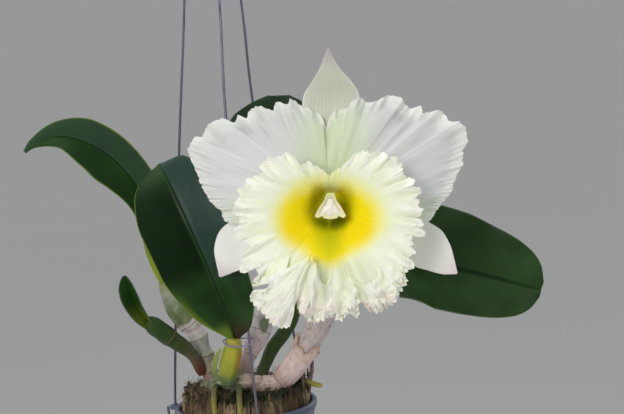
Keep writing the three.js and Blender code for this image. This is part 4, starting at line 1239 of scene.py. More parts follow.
@dataclass
class Stems:
    """The rhizome and what rises from it: five pseudobulbs, a torn sheath, a young growth and a bract."""

    rhizome: Table = ((-26, 1, 89), (-16, -6, 92), (-7, -13, 94), (2, -15, 94), (13, -14, 92.5))
    rhizome_radii: Table = ((0, 2.6), (0.06, 4.2), (0.2, 5), (0.35, 4.6), (0.5, 5.4), (0.66, 4.7),
                            (0.85, 5.2), (0.96, 4.4), (1, 2.8))
    back_left: Table = ((-20, -1, 92), (-21, 1, 101), (-23, 1, 112), (-28, 0, 126), (-36.5, -1, 142),
                        (-44.8, -1, 158.5))
    back_left_radii: Table = ((0, 4.4), (0.1, 4.9), (0.17, 4.1), (0.26, 4.9), (0.33, 4.3), (0.42, 5.6),
                              (0.5, 5.4), (0.56, 7.6), (0.68, 8.2), (0.8, 7.4), (0.92, 5.6), (1, 3.6))
    front: Table = ((-9, -19, 96), (-8, -24, 105), (-5, -29, 116), (-2.5, -33, 126.5))
    front_radii: Table = ((0, 4.2), (0.12, 5), (0.35, 6), (0.6, 6.1), (0.85, 5), (1, 3.4))
    middle: Table = ((-2, -12, 96), (2, -8, 104), (7, -4, 113), (12, 0, 124), (16, 4, 135))
    middle_radii: Table = ((0, 3.2), (0.15, 3.6), (0.35, 4.2), (0.5, 5.6), (0.7, 7.2), (0.88, 6.4),
                           (0.96, 4.6), (1, 2.6))
    rear: Table = ((9, -10, 93.5), (14, -1, 102), (19, 6, 110), (27, 10, 119), (35, 13, 130.5))
    rear_radii: Table = ((0, 3.4), (0.2, 3.6), (0.5, 4.4), (0.85, 4.6), (1, 3.2))
    flowering: Table = ((9, -14, 91.5), (20, -14, 92.5), (31, -14, 101), (39.5, -13, 112), (50, -12, 128),
                        (59, -11, 143), (66, -10, 157))
    flowering_radii: Table = ((0, 4.6), (0.06, 5.7), (0.14, 5.4), (0.2, 6.4), (0.33, 6.6), (0.5, 7.2),
                              (0.7, 7.6), (0.88, 7), (0.96, 5.6), (1, 3.8))
    shoot: Table = ((-25.5, -3, 99), (-31, -7, 113), (-43, -12, 125), (-56, -17.5, 138))
    shoot_radii: Table = ((0, 2.6), (0.08, 3.2), (0.3, 3.6), (0.36, 4.3), (0.6, 5.2), (0.66, 5.7),
                          (0.86, 5.6), (0.95, 4.6), (1, 3))
    bract: Blade = Blade(
        path=((-14.5, -20, 98), (-16.5, -23, 106), (-14.5, -26, 113.5), (-11.6, -29.5, 120)),
        across=((0.8, -0.5, 0.2), (0.8, -0.5, 0.2)),
        widths=((0, 2, 2), (0.4, 2.2, 2.2), (0.8, 1.4, 1.4), (1, 0.5, 0.5)),
        bend=((35, 35), (25, 25)), crease=0.3)

    @staticmethod
    def skin(seed: int, ribs: float, wrinkle: float, joints: Sequence[float] = (),
             step: float = 1.0) -> Swell:
        """The skin's relief: lengthwise ribs, wrinkles, and a step at each joint.

        Args:
            seed: picks the wrinkles.
            ribs: height of the ribs in millimetres.
            wrinkle: height of the wrinkles.
            joints: shares of the length with a raised ring.
            step: scales the rings.

        Returns:
            The height over angle and share.
        """
        def height(a: Array, s: Array) -> Array:
            """ribs * noise over the angle + wrinkle * noise over both + a narrow hill at each joint.

            Args:
                a: angles round the stem.
                s: shares of its length.

            Returns:
                Millimetres above the smooth stem.
            """
            total = ribs * rumple(polar(5, a, s * 3), 2.2, seed)
            total = total + wrinkle * rumple(polar(1.6, a, s * 16), 2.0, seed + 1)
            for joint in joints:
                ring = np.exp(-((s - joint) / 0.01) ** 2)
                groove = np.exp(-((s - joint - 0.028) / 0.014) ** 2)
                total = total + step * (0.4 * ring - 0.3 * groove)
            return total
        return height

    def torn_sheath(self) -> Shape:
        """Dry sheath round the foot of the flowering stem: the stem's radius and a hair, up to a torn edge
        whose height is a sum of sines of the angle, flared where it is torn.

        Returns:
            The closed sheath.
        """
        rows, columns = 40, 120
        a = all_round(columns)[None, :]
        i = np.linspace(0, 1, rows)[:, None]
        top = 0.45 + 0.035 * np.sin(3 * a + 1) + 0.02 * np.sin(7 * a)
        top = top + 0.006 * np.sin(23 * a) * np.sin(5 * a + 2)
        s = mix(0.15, top, i)
        path = Path(self.flowering)
        side = np.array([0, 0, 1.0])
        ahead = path.ahead(s)
        side = unit(side - ahead * ahead[..., 2:])
        other = np.cross(ahead, side)
        flare = 1.4 * ease((i - 0.75) / 0.25) * (0.5 + 0.5 * np.sin(3 * a + 1))
        r = read(self.flowering_radii, s) * (1 + 0.03 * np.cos(5 * a) * (1 - s)) + 0.75 + flare
        crumple = rumple(polar(4, a, s * 26), 2.4, 31)
        r = (r + 0.22 * crumple * ease(i * 4))[..., None]
        grid = path.at(s) + side * np.cos(a)[..., None] * r + other * np.sin(a)[..., None] * r
        return sheet(grid, 0.2, 0.2, loop=True)

    @staticmethod
    def stem(node: str, path: Table, radii: Table, swell: Swell | None, relief: Swell, finish: StemFinish,
             slot: Slot = Slot.PAPERY) -> None:
        """Makes a stem with its skin, named like its finish.

        Args:
            node: the solid that it stands for.
            path: the points along it.
            radii: pairs of share and radius.
            swell: scales the radius over angle and share.
            relief: the skin's height.
            finish: its finish.
            slot: the slot of its finish.
        """
        piece(finish.name, bar(path, radii, 48, 130, swell, relief), finish.material(), slot, [node])

    def build(self) -> None:
        """Makes every stem, with a finish of its own."""
        joints = (0.2, 0.35, 0.5, 0.66, 0.8)
        self.stem(
            "rhizome", self.rhizome, self.rhizome_radii,
            lambda a, s: 1 + 0.07 * np.sin(3 * a + 20 * s) + 0.05 * np.sin(38 * s),
            self.skin(3, 0.35, 0.35, joints),
            StemFinish(
                "rhizome_skin", ((0.0, (0.16, 0.13, 0.08)), (0.3, (0.30, 0.36, 0.22)),
                                 (0.6, (0.28, 0.33, 0.20)), (0.8, (0.40, 0.30, 0.26)),
                                 (1.0, (0.48, 0.36, 0.32))),
                (0.07, 0.05, 0.03), blotch_share=0.65, fibre=0.6, speck_share=0.4, rings=joints))
        self.stem(
            "pseudobulb_back_left", self.back_left, self.back_left_radii,
            lambda a, s: 1 + 0.05 * np.sin(4 * a + 3 * s), self.skin(5, 0.22, 0.25, (0.1, 0.26, 0.42)),
            StemFinish(
                "bulb_skin_back_left",
                ((0.0, (0.22, 0.15, 0.12)), (0.16, (0.32, 0.24, 0.19)), (0.28, (0.28, 0.30, 0.24)),
                 (0.42, (0.42, 0.42, 0.38)), (0.52, (0.70, 0.60, 0.63)), (0.59, (0.66, 0.58, 0.60)),
                 (0.62, (0.12, 0.16, 0.06)), (0.75, (0.14, 0.19, 0.08)), (0.9, (0.34, 0.36, 0.28)),
                 (1.0, (0.22, 0.27, 0.06))),
                (0.50, 0.50, 0.38), blotch_share=0.3, speck_share=0.35, rings=(0.1, 0.26, 0.42, 0.57)))
        self.stem(
            "pseudobulb_front", self.front, self.front_radii,
            lambda a, s: 1 + 0.05 * np.cos(5 * a), self.skin(7, 0.18, 0.08),
            StemFinish(
                "bulb_skin_front", ((0.0, (0.24, 0.30, 0.18)), (0.2, (0.26, 0.33, 0.12)),
                                    (0.32, (0.32, 0.36, 0.04)), (0.8, (0.40, 0.38, 0.035)),
                                    (1.0, (0.42, 0.36, 0.06))),
                (0.16, 0.28, 0.03), blotch_share=0.6, fibre=0.25, speck_share=0.15, rough=0.45, soft=0.15,
                mark=(0.9, 0.55, 0.09, 0.28), mark_colour=(0.46, 0.24, 0.03)), Slot.GREEN)
        self.stem(
            "pseudobulb_middle", self.middle, self.middle_radii,
            lambda a, s: 1 + 0.06 * np.cos(4 * a), self.skin(9, 0.25, 0.2, (0.36,)),
            StemFinish(
                "bulb_skin_middle", ((0.0, (0.26, 0.22, 0.16)), (0.25, (0.46, 0.33, 0.32)),
                                     (0.5, (0.72, 0.57, 0.60)), (0.75, (0.80, 0.72, 0.76)),
                                     (1.0, (0.60, 0.58, 0.54))),
                (0.24, 0.26, 0.14), blotch_share=0.4, fibre=0.45, speck_share=0.3, rings=(0.36, 0.7),
                mark=(0.82, 0.78, 0.1, 0.13)))
        self.stem(
            "pseudobulb_rear", self.rear, self.rear_radii,
            lambda a, s: 1 + 0.05 * np.cos(4 * a), self.skin(11, 0.2, 0.1),
            StemFinish(
                "bulb_skin_rear",
                ((0.0, (0.03, 0.04, 0.012)), (0.5, (0.035, 0.08, 0.012)), (1.0, (0.05, 0.09, 0.02))),
                (0.02, 0.03, 0.01), fibre=0.4, speck_share=0.2, rough=0.5), Slot.GREEN)
        self.stem(
            "pseudobulb_flowering", self.flowering, self.flowering_radii,
            lambda a, s: 1 + 0.03 * np.cos(5 * a) * (1 - s), self.skin(13, 0.22, 0.18, (0.14, 0.72)),
            StemFinish(
                "bulb_skin_flowering", ((0.0, (0.44, 0.33, 0.30)), (0.14, (0.62, 0.48, 0.45)),
                                        (0.45, (0.54, 0.45, 0.44)), (0.7, (0.54, 0.48, 0.49)),
                                        (1.0, (0.38, 0.34, 0.27))),
                (0.56, 0.50, 0.42), blotch_share=0.3, fibre=0.6, speck_share=0.75, rings=(0.14, 0.3, 0.72)))
        paper = StemFinish(
            "sheath_paper", ((0.0, (0.50, 0.36, 0.33)), (0.5, (0.70, 0.54, 0.51)), (0.9, (0.62, 0.46, 0.40)),
                             (1.0, (0.40, 0.26, 0.17))),
            (0.42, 0.28, 0.22), fibre=0.55, speck_share=0.4, rough=0.75, soft=0.15)
        piece("torn_sheath", self.torn_sheath(), paper.material(), Slot.SHEATH, ["sheath_flowering"])
        self.stem(
            "new_shoot", self.shoot, self.shoot_radii, None, self.skin(15, 0.12, 0.1, (0.33, 0.64), 0.4),
            StemFinish(
                "young_growth", ((0.0, (0.16, 0.025, 0.02)), (0.12, (0.15, 0.04, 0.03)),
                                 (0.26, (0.10, 0.09, 0.05)), (0.45, (0.036, 0.056, 0.010)),
                                 (0.8, (0.016, 0.046, 0.004)), (1.0, (0.026, 0.062, 0.004))),
                (0.04, 0.08, 0.008), fibre=0.3, speck_share=0.2, rings=(0.33, 0.64), rough=0.5, soft=0.05),
            Slot.GREEN)
        green = StemFinish(
            "green_bract", ((0.0, (0.30, 0.36, 0.16)), (0.5, (0.34, 0.42, 0.12)), (1.0, (0.42, 0.46, 0.16))),
            (0.20, 0.28, 0.09), blotch_share=0.4, fibre=0.3, rough=0.45, soft=0.2)
        grid, s, _ = self.bract.grid(30, 16)
        piece("green_bract", sheet(grid, 0.4, 0.4, v=s[:, 0]), green.material(), Slot.GREEN, ["bract_front"])


@dataclass
class Leaves:
    """The five leaves, each with its own greens; the rear leaf's are lighter and cooler as a painted
    highlight.
    """

    far_left: Blade = Blade(
        path=((-44.6, -1, 157.8), (-47.6, 0, 175), (-50, 3, 200), (-60, 4, 223.5), (-77, 2, 242.5),
              (-99, -4, 253), (-115, -11, 250.5), (-121, -14, 246)),
        across=((1, 0, 0), (0.95, 0.1, 0.1), (0.8, 0, 0.5), (0.5, 0.1, 0.85), (0.2, 0.3, 0.95)),
        widths=((0, 3.5, 3.5), (0.12, 7.5, 8), (0.35, 12, 14), (0.5, 17.5, 16), (0.6, 20, 16.5),
                (0.72, 17.5, 16), (0.86, 8.5, 9), (0.95, 3.5, 3.5), (1, 1, 1)),
        bend=((35, 35), (44, 16)), recurve=1.2, wander=0.4, seed=2)
    front: Blade = Blade(
        path=((-2.4, -33.2, 126.1), (-4, -37.5, 138), (-8, -41, 152), (-16, -43, 177), (-26.5, -39.5, 205),
              (-37, -27, 229), (-40.5, -18, 233)),
        across=((0.98, -0.15, 0.1), (0.98, -0.1, 0.25), (0.93, 0.05, 0.35), (0.9, 0.15, 0.4)),
        widths=((0, 4, 4), (0.1, 14, 17), (0.25, 24, 26), (0.45, 30, 26.5), (0.65, 30, 26), (0.82, 24.5, 24),
                (0.93, 14.5, 16), (0.98, 7, 9), (1, 2, 2.5)),
        bend=((45, 35), (8, 14)), recurve=1.5, wander=0.5, seed=3)
    rear: Blade = Blade(
        path=((35.3, 13.1, 130), (34, 13, 150), (32, 12, 190), (31, 10, 225), (33, 4, 256), (35, -3, 268)),
        across=((1, 0, 0.05), (1, 0, 0.1), (0.97, 0, 0.25)),
        widths=((0, 4, 4), (0.12, 12, 12), (0.35, 23, 23), (0.6, 31, 28), (0.8, 34, 26), (0.91, 28, 21),
                (0.97, 18, 14), (1, 7, 6)),
        bend=((40, 40), (6, 6)), recurve=1.0, wander=0.5, seed=4)
    right: Blade = Blade(
        path=((66.4, -9, 157.6), (80, -5.5, 163), (97, -3, 163), (121, 3, 156), (150, 6, 147.5),
              (188, 0, 135.5)),
        across=((0.1, -0.5, -0.85), (0.15, -0.35, -0.93), (0.2, -0.1, -0.97)),
        widths=((0, 4, 4), (0.1, 17, 29), (0.25, 33, 42), (0.4, 38.5, 40), (0.55, 37, 35.5), (0.7, 32.5, 30),
                (0.82, 28.5, 25.5), (0.91, 23, 20.5), (0.97, 15.5, 13.5), (1, 6, 5)),
        bend=((45, 45), (10, 14)), recurve=1.5, wander=0.5, seed=5)
    young: Blade = Blade(
        path=((-53.4, -15.4, 134.2), (-57.8, -17.4, 140.5), (-62, -20.5, 148.5), (-64.8, -22.5, 157),
              (-66.5, -24, 167.5)),
        across=((0.9, -0.1, 0.4), (0.9, -0.1, 0.3)),
        widths=((0, 5, 5), (0.1, 6.8, 6.8), (0.3, 7.6, 8), (0.6, 7.4, 8.2), (0.8, 6, 6.4), (0.94, 3.4, 3.6),
                (1, 1.2, 1.2)),
        bend=((70, 60), (24, 34)))

    def build(self) -> None:
        """Makes each leaf."""
        rows = (
            (self.far_left, 90, 36, "far_left", "leaf_far_left", dict(
                rim=(0.16, 0.23, 0.03), rim_share=0.7, rim_width=0.03, foot_end=0.3, foot=(0.26, 0.34, 0.02),
                painted_sheen=(0.036, 0.075, 0.046), painted_sheen_share=0.45)),
            (self.front, 110, 44, "front", "leaf_front", dict(
                light=(0.018, 0.064, 0.007), foot=(0.13, 0.20, 0.015), foot_side=0.12, rim_width=0.012,
                painted_sheen_share=0.8, painted_half_shade_share=0.9)),
            # Painted highlight: the rear leaf's greens are lifted and cooled to stand in for a greyish sheen.
            (self.rear, 80, 36, "rear", "leaf_rear", dict(
                deep=(0.020, 0.046, 0.020), light=(0.040, 0.074, 0.046), rim_share=0.3, rim_width=0.01)),
            (self.right, 110, 44, "right", "leaf_right", dict(
                deep=(0.012, 0.038, 0.006), light=(0.024, 0.066, 0.014), rim=(0.13, 0.17, 0.09),
                rim_share=0.8, rim_width=0.014, midrib=(0.008, 0.020, 0.012), midrib_width=0.05)),
            (self.young, 50, 24, "young", "leaf_new_shoot", dict(
                deep=(0.004, 0.027, 0.0005), light=(0.010, 0.050, 0.001), rim=(0.07, 0.10, 0.055),
                foot=(0.09, 0.13, 0.01), foot_end=0.6, rim_width=0.06, rim_share=0.8,
                midrib=(0.03, 0.07, 0.008))))
        for blade, steps, columns, name, node, looks in rows:
            finish = LeafFinish(f"leaf_{name}", **looks)
            piece(f"leaf_blade_{name}", blade.leaf(steps, columns), finish.material(), Slot.LEAF, [node])


# The lip's edge: angle round a place 4 mm under the flower's middle, reach, and degrees that it leans over.
LIP_EDGE = (
    (91.4, 18.5, 0), (100, 23.5, 0), (109, 28, 0), (114, 31, 0), (123, 31.5, 0), (125, 37, 0), (128, 42, 0),
    (133, 42, 0), (138, 45.5, 0), (144, 47.5, 0), (150, 45, 0), (155, 47, 0), (157, 50, 0), (163, 51, 0),
    (167, 53, 0), (172, 52.5, 0), (177, 55, 0), (184, 53, 0), (187, 51.5, 0), (190, 56, 0), (194, 55.5, 0),
    (203, 49, 0), (206, 52, 0), (208, 56.5, 0), (211.5, 60, 0), (215, 60.5, 0), (216.5, 58, 0),
    (218, 53.5, 0), (220.5, 53, 0), (221.5, 56, 0), (222.5, 60, 0), (225, 61, 0), (227.5, 55, 1),
    (229.5, 53.5, 0.5), (231, 58, -0.5), (232, 63.5, -6), (233, 67, -6),
    (234.5, 68.5, -3), (238, 69.5, 0), (243, 72, 0), (246.5, 71.5, 0.5), (247.5, 69, 3), (248, 65.5, 0.5),
    (248.5, 60, -0.5), (249.5, 54.5, 0), (251, 57, 0), (256, 60.5, 0), (261, 63.5, 0), (265, 62, 0),
    (270, 59, 0), (275, 62, 0), (280.5, 58, 0), (284, 62, 0), (286.5, 54, 0), (289.5, 54, 0), (291, 60.5, 0),
    (298, 63, 0), (305, 63, 0), (311, 60, 0), (315, 59.5, 0), (318.5, 58.5, 0), (320.5, 54.5, 0),
    (326, 56, 0), (331, 52, 0), (335, 52, 0), (341, 48.5, 0), (346, 53.5, 0), (350, 54, 0), (356, 50, 0),
    (363, 52, 0), (366, 49.5, 0), (375, 51.5, 0), (378, 48.5, 0), (382.5, 50, 0), (384.5, 46, 0),
    (392, 47, 0), (396, 48.5, 0), (403, 45.5, 0), (410, 44.5, 0), (415.5, 40, 0),
    (423, 38.5, 0), (429, 33, 0), (437, 25.5, 0), (444, 23, 0), (448.6, 18.5, 0),
)
# The angles of its slits, its depth by radius, and how the pleats rise by share of the reach.
SLITS = np.array([219.0, 229.0, 249.0, 288.0])
LIP_DEPTH = ((5.2, 0.65), (8.2, 1.8), (10.4, 6), (12.6, 12), (17, 18), (26, 23.5), (38, 27), (50, 28),
             (60, 26.5), (76, 21))
PLEAT_RISE = ((0.43, 0), (0.5, 0.1), (0.56, 0.6), (0.64, 1), (0.7, 1.15), (0.84, 0.8), (1, 0.15))


@dataclass(frozen=True)
class Pleat:
    """A fold of the lip's lower lobe: its crest's reach by angle, its middle, spread, rise and fold."""

    crest: Table
    middle: float
    spread: float
    rise: float
    fold: float


@dataclass
class Flower:
    """The flower: stalk, three sepals, two ruffled petals, the lip, and the column with its cap."""

    dorsal: Blade = Blade(
        path=((0, 6.6, -9), (0.5, 25, -11), (0.6, 45, -13), (0.4, 65, -14), (-1, 92, -16)),
        across=((1, 0, 0), (1, 0, 0)),
        widths=((0, 3.6, 3.6), (0.2, 9, 9), (0.45, 15.6, 16), (0.6, 16.8, 17.6), (0.68, 15.8, 16.6),
                (0.76, 11.6, 13), (0.84, 7, 7.4), (0.92, 3.6, 3.4), (1, 0.6, 0.6)),
        bend=((30, 30), (-12, -12)), wander=0.5, seed=21)
    pleats: tuple[Pleat, ...] = (
        Pleat(((226, 54), (230, 42), (236, 32), (243, 27.5), (250, 28.5), (256, 31), (260, 36), (265, 41),
               (271, 48)), 248.5, 23, 9, 13),
        Pleat(((283, 48), (289, 42), (296, 46), (304, 47), (311, 50)), 297, 14, 5, 6),
    )
    left_outline: Table = (
        (85, 36), (89, 41.5), (92.5, 48), (98, 52), (104.5, 56), (109.5, 61), (111.5, 59.5), (117, 62.5),
        (120.5, 59.5), (126, 66.5), (131, 67.5), (134, 65), (136.5, 70), (140, 69), (142, 76), (150, 80.5),
        (153.5, 80.5), (155, 84.5), (160, 84.5), (167, 78), (174.5, 72), (182, 66.5), (187.5, 61), (192, 60),
        (196, 54), (202, 28))
    right_outline: Table = (
        (-19, 28), (-14, 56), (-9, 58.5), (-5, 60.5), (-1, 64), (3, 68), (9, 71), (15.5, 77), (20, 79.5),
        (24, 84.5), (28, 86), (31.5, 85), (33, 81.5), (40, 79.5), (42.5, 74), (44, 71.5), (47, 73.5),
        (50, 68.5), (54, 68), (56, 70), (60, 69), (63, 67), (67, 61.5), (72, 59), (75, 60), (80, 57),
        (82.5, 53), (90, 51), (95, 45), (98, 38))
    petal_steps: tuple[int, int] = (72, 420)
    lip_steps: tuple[int, int] = (62, 760)
    lip_foot: float = 5.2
    lip_throat: float = 12.6

    @staticmethod
    def lateral(side: int, reach: float, drop: float, lean: float, seed: int) -> Blade:
        """A lateral sepal: out to one side and down.

        Args:
            side: -1 for the viewer's left, 1 for the right.
            reach: how far out its tip is.
            drop: how far down its tip is.
            lean: scales its lower half's width.
            seed: picks its small waves.

        Returns:
            The sepal in flower places.
        """
        return Blade(
            path=((side * 5, -4.2, -9), (side * 30, -13, -13), (side * 53, -24, -14),
                  (side * reach, -drop, -11)),
            across=((0, 1, 0), (side * 0.4, 1, 0)),
            widths=((0, 3.2, 3.2), (0.25, 10 * lean, 10), (0.5, 15 * lean, 14.5), (0.7, 15.2 * lean, 14.7),
                    (0.82, 11.6 * lean, 11.2), (0.92, 5.6, 5.6), (0.97, 2.4, 2.4), (1, 0.4, 0.4)),
            bend=((30, 30), (-10, -10)), wander=0.5, seed=seed)

    def petal(self, side: int, outline: Table, feet: Pair, back: float, seed: int) -> Shape:
        """A fan that widens at once from a narrow foot: mix(foot, edge, s) over the angle, lifted by a broad
        swell and ripples near the edge, with small folds and teeth in the outermost part.

        Args:
            side: -1 for the viewer's left, 1 for the right.
            outline: rows of angle and reach from (3 * side, 4).
            feet: the foot's first and last angle on the receptacle.
            back: how far behind the middle it stands.
            seed: picks the small folds.

        Returns:
            The closed petal.
        """
        rows, columns = self.petal_steps
        s = (np.linspace(0, 1, rows + 1) ** 0.9)[:, None]
        share = np.linspace(0, 1, columns + 1)[None, :]
        angle = mix(outline[0][0], outline[-1][0], share)
        beside = spread(share * 100, share * 0)
        reach = read(outline, angle)
        trend = np.polynomial.Polynomial.fit(angle[0], reach[0], 6)(angle)
        flare = np.clip(reach - trend, -3, 3) * ease((s - 0.68) / 0.32)
        teeth = 0.5 * rumple(beside, 2.2, seed) + 0.3 * rumple(beside, 1.1, seed + 1)
        trim = teeth * ease((s - 0.75) / 0.25) * ease(share * 9) * ease((1 - share) * 9)
        foot = np.radians(mix(feet[0], feet[1], share))
        x0, y0 = (RECEPTACLE + 0.7) * np.cos(foot), (RECEPTACLE + 0.7) * np.sin(foot)
        x1 = side * 3 + (reach + trim) * np.cos(np.radians(angle))
        y1 = 4 + (reach + trim) * np.sin(np.radians(angle))
        fine = ease((np.abs(angle - 90) - 55) / 25)
        ripple = mix(np.sin(share * 62) * 2.4, np.sin(share * 112) * 1.4, fine)
        outer = 1 - share if side < 0 else share
        calm = ease(share * 7) * ease((1 - share) * 7)
        swell = 8 * np.sin(np.pi * np.minimum(s * 1.1, 1)) - 3.5 * s * s
        pleats = 0.8 * np.sin(share * 336) * fine * ease((s - 0.8) / 0.2)
        lift = swell * ease(outer * 4) + (ripple * ease((s - 0.72) / 0.28) ** 1.4 + pleats) * calm
        where = spread(share * 100, s * 9)
        folds = 1.1 * rumple(where, 3.4, seed + 2) * ease((s - 0.78) / 0.22)
        folds = folds + 0.25 * rumple(where, 9.0, seed + 3) * ease(s * 2)
        lift = lift + (folds + 0.6 * flare) * calm
        grid = FLOWER.place(spread(mix(x0, x1, s), mix(y0, y1, s), back + lift))
        half = mix(PETAL_HALF, 0.14, ease((s - 0.8) / 0.2)) * np.ones_like(share)
        return sheet(grid, half, half, v=s[:, 0])

    @staticmethod
    def lip_columns(count: int) -> tuple[Array, Array, Array]:
        """Shares columns out round the lip, half by the length of its edge and half with more of them below.

        Args:
            count: how many columns.

        Returns:
            The angle of each column in degrees, its place along the edge in millimetres, and the edge's
            outward direction there, which is its own direction turned by a right angle.
        """
        turns = np.linspace(LIP_EDGE[0][0], LIP_EDGE[-1][0], 6001)
        shown = np.radians(turns + read(LIP_EDGE, turns, 2))
        edge = read(LIP_EDGE, turns)[:, None] * spread(np.cos(shown), np.sin(shown))
        length = np.append(0, np.cumsum(np.linalg.norm(np.diff(edge, axis=0), axis=-1)))
        fixed = np.interp(turns, (turns[0], 226, 326, turns[-1]), (0, 0.341, 0.705, 1))
        angle = np.interp(np.linspace(0, 1, count + 1), (length / length[-1] + fixed) / 2, turns)
        ahead = unit(np.gradient(edge, axis=0))
        outward = np.stack([np.interp(angle, turns, ahead[:, 1]), -np.interp(angle, turns, ahead[:, 0])])
        return angle, np.interp(angle, turns, length), outward

    def pleated(self, angle: Array, f: Array) -> tuple[Array, Array]:
        """The lip before its ruffles: straight out from its foot to its edge, with depth over the radius, and
        folded over a crest where a pleat is.

        Args:
            angle: the angle of each column in degrees.
            f: the share of the reach of each row.

        Returns:
            The radius and the depth of each point.
        """
        reach = read(LIP_EDGE, angle)
        share = f[:, None]
        r = mix(self.lip_foot, reach[None], share)
        z = read(LIP_DEPTH, r)
        for pleat in self.pleats:
            part = np.sqrt(bump((angle - pleat.middle) / pleat.spread))[None]
            lively = bump((angle - pleat.middle) / pleat.spread * 1.6)
            crest = read(pleat.crest, angle) + 1.4 * rumple(angle[:, None] * 0.5, 2.3, 48) * lively
            trough = np.minimum(crest + pleat.fold, reach - 6)
            flat = np.ones_like(crest)
            stations = np.stack([self.lip_foot * flat, self.lip_throat * flat, 0.8 * trough, trough,
                                 mix(trough, crest, 0.45), crest, crest + 2, reach])
            folded = look_up((0, 0.15, 0.43, 0.5, 0.56, 0.64, 0.7, 1), stations, f)
            r = mix(r, folded, part)
            z = mix(z, read(LIP_DEPTH, folded) + pleat.rise * read(PLEAT_RISE, share), part)
        return r, z

    def lip(self) -> Shape:
        """One trumpet round the column, slit at the top, with two pleats below, waved by ruffles that grow
        towards the edge, crumpled in its outer part, and toothed along its edge and the pleats' crests.

        Returns:
            The closed lip.
        """
        rows, columns = self.lip_steps
        f = 1 - (1 - np.linspace(0, 1, rows + 1)) ** 1.25
        angle, along, outward = self.lip_columns(columns)
        fcol = f[:, None]
        r, z = self.pleated(angle, f)
        side = (ease((angle - 100) / 30) * ease((440 - angle) / 30))[None]
        turn = np.radians(angle)[None]
        beat = turn * 27 + 0.7 * rumple((turn * 9).T[..., None], 5.0, 40).T
        edge = ease((fcol - 0.5) / 0.5)
        rim = ease((fcol - 0.8) / 0.2)
        frill = ease((fcol - 0.6) / 0.4)
        z = z + 2.6 * side * frill * (np.sin(beat) + 0.35 * np.sin(turn * 41 + 1))
        lower = (ease((angle - 205) / 25) * ease((335 - angle) / 25))[None]
        where = spread(turn * 50, fcol * 42)
        near_slit = bump((angle[:, None] - SLITS) / 3.4).max(1)[None]
        calm = lower * (1 - 0.9 * near_slit)
        crumple = rumple(where, 7.0, 42) * edge * (0.3 + 1.5 * lower)
        crumple = crumple + rumple(where, 2.6, 43) * rim * (0.4 + 1.6 * calm)
        fringe = rim * np.sin(beat * 3 + 1) + 0.4 * rim * calm * np.sin(along[None] * 2.3)
        z = z + side * (crumple + fringe)
        tooth = 1 + 0.022 * edge * np.cos(turn * 54) * (1 - lower)
        outermost = ease((fcol - 0.84) / 0.16)
        lace = np.minimum(rumple(where * [1, 0.2], 1.5, 44), 0.5) * 1.1
        lace = lace + rumple(where * [1, 0], 4.2, 45) * 0.7
        r = r * tooth + np.minimum(lace, 0.9) * outermost * side * (1 - lower)
        teeth = np.clip(rumple(along[:, None], 2.2, 47), -1.1, 0.8)[None] * outermost * calm
        lean = np.radians(read(LIP_EDGE, angle, 2))[None] * ease((r - 52) / 11)
        jitter = rumple(where, 5.0, 46) * 0.6 * edge * calm
        jitter = jitter + 0.7 * rim * np.sin(beat * 2) * (1 - 0.6 * lower) * (1 - near_slit)
        bent = turn + lean + side * jitter / np.maximum(r, 20)
        over = (ease((100 - angle) / 9) - ease((angle - 440) / 9))[None]
        deep = 1 - ease((r - 8) / 8)
        bent = bent - np.radians(2.0) * over
        r = r + 0.35 * over * deep
        z = z - 0.5 * over * (1 - deep)
        x = r * np.cos(bent) + teeth * outward[0]
        y = r * np.sin(bent) - 4 * ease(r / 30) + teeth * outward[1]
        grid = FLOWER.place(spread(x, y, z))
        half = mix(PETAL_HALF, 0.16, rim) * np.ones_like(turn)
        return sheet(grid, half, half, v=f)

    @staticmethod
    def hood(a: Array) -> Array:
        """The hood's outline: the distance to the nearest side of a triangle with a blunt top, drawn in along
        its upper sides and with two notches in its lower edge.

        Args:
            a: angles in radians.

        Returns:
            The reach at each angle.
        """
        corners = np.array([[1.9, 6.7], [-1.9, 6.7], [-9.8, -7.6], [9.8, -7.6]])
        ends = np.roll(corners, -1, 0)
        normal = spread(ends[:, 1] - corners[:, 1], corners[:, 0] - ends[:, 0])
        facing = spread(np.cos(a), np.sin(a)) @ normal.T
        away = np.sum(corners * normal, -1)[None] / np.where(np.abs(facing) < 1e-9, 1e-9, facing)
        reach = np.minimum(np.where(away > 0, away, np.inf).min(1), 10.8)
        dents = ((28, 0.1, 26), (152, 0.1, 26), (-126, 0.16, 6), (-54, 0.16, 6), (-90, -0.07, 18))
        for middle, depth, width in dents:
            gap = (np.degrees(a) - middle + 180) % 360 - 180
            reach = reach * (1 - depth * np.exp(-(gap / width) ** 2))
        return reach

    def column(self) -> Shape:
        """Round at its foot, a three-cornered hood at its front: at each height a mix of a circle and the
        hood. The rings are rows of height, share of the hood, the circle's radius and scale.

        Returns:
            The closed column.
        """
        a = all_round(120) - np.pi / 2
        rings = np.array([[0.35, 0, 4.4, 1], [5, 0, 4.1, 1], [11, 0.35, 4.4, 1], [17, 0.8, 5, 0.92],
                          [21, 1, 5, 0.97], [23.4, 1, 5, 1], [24.1, 1, 5, 0.95], [23.6, 1, 5, 0.82],
                          [22.2, 1, 5, 0.6], [21, 1, 5, 0.36]])
        t = np.linspace(0, 9, 73)
        z, form, circle, scale = (look_up(range(10), rings[:, k], t)[:, None] for k in range(4))
        r = mix(circle, self.hood(a), form) * scale
        ends = FLOWER.place([0, 0, 0.35]), FLOWER.place([0, -0.5, 20.8])
        return tube(FLOWER.place(polar(r, a, z)), ends)

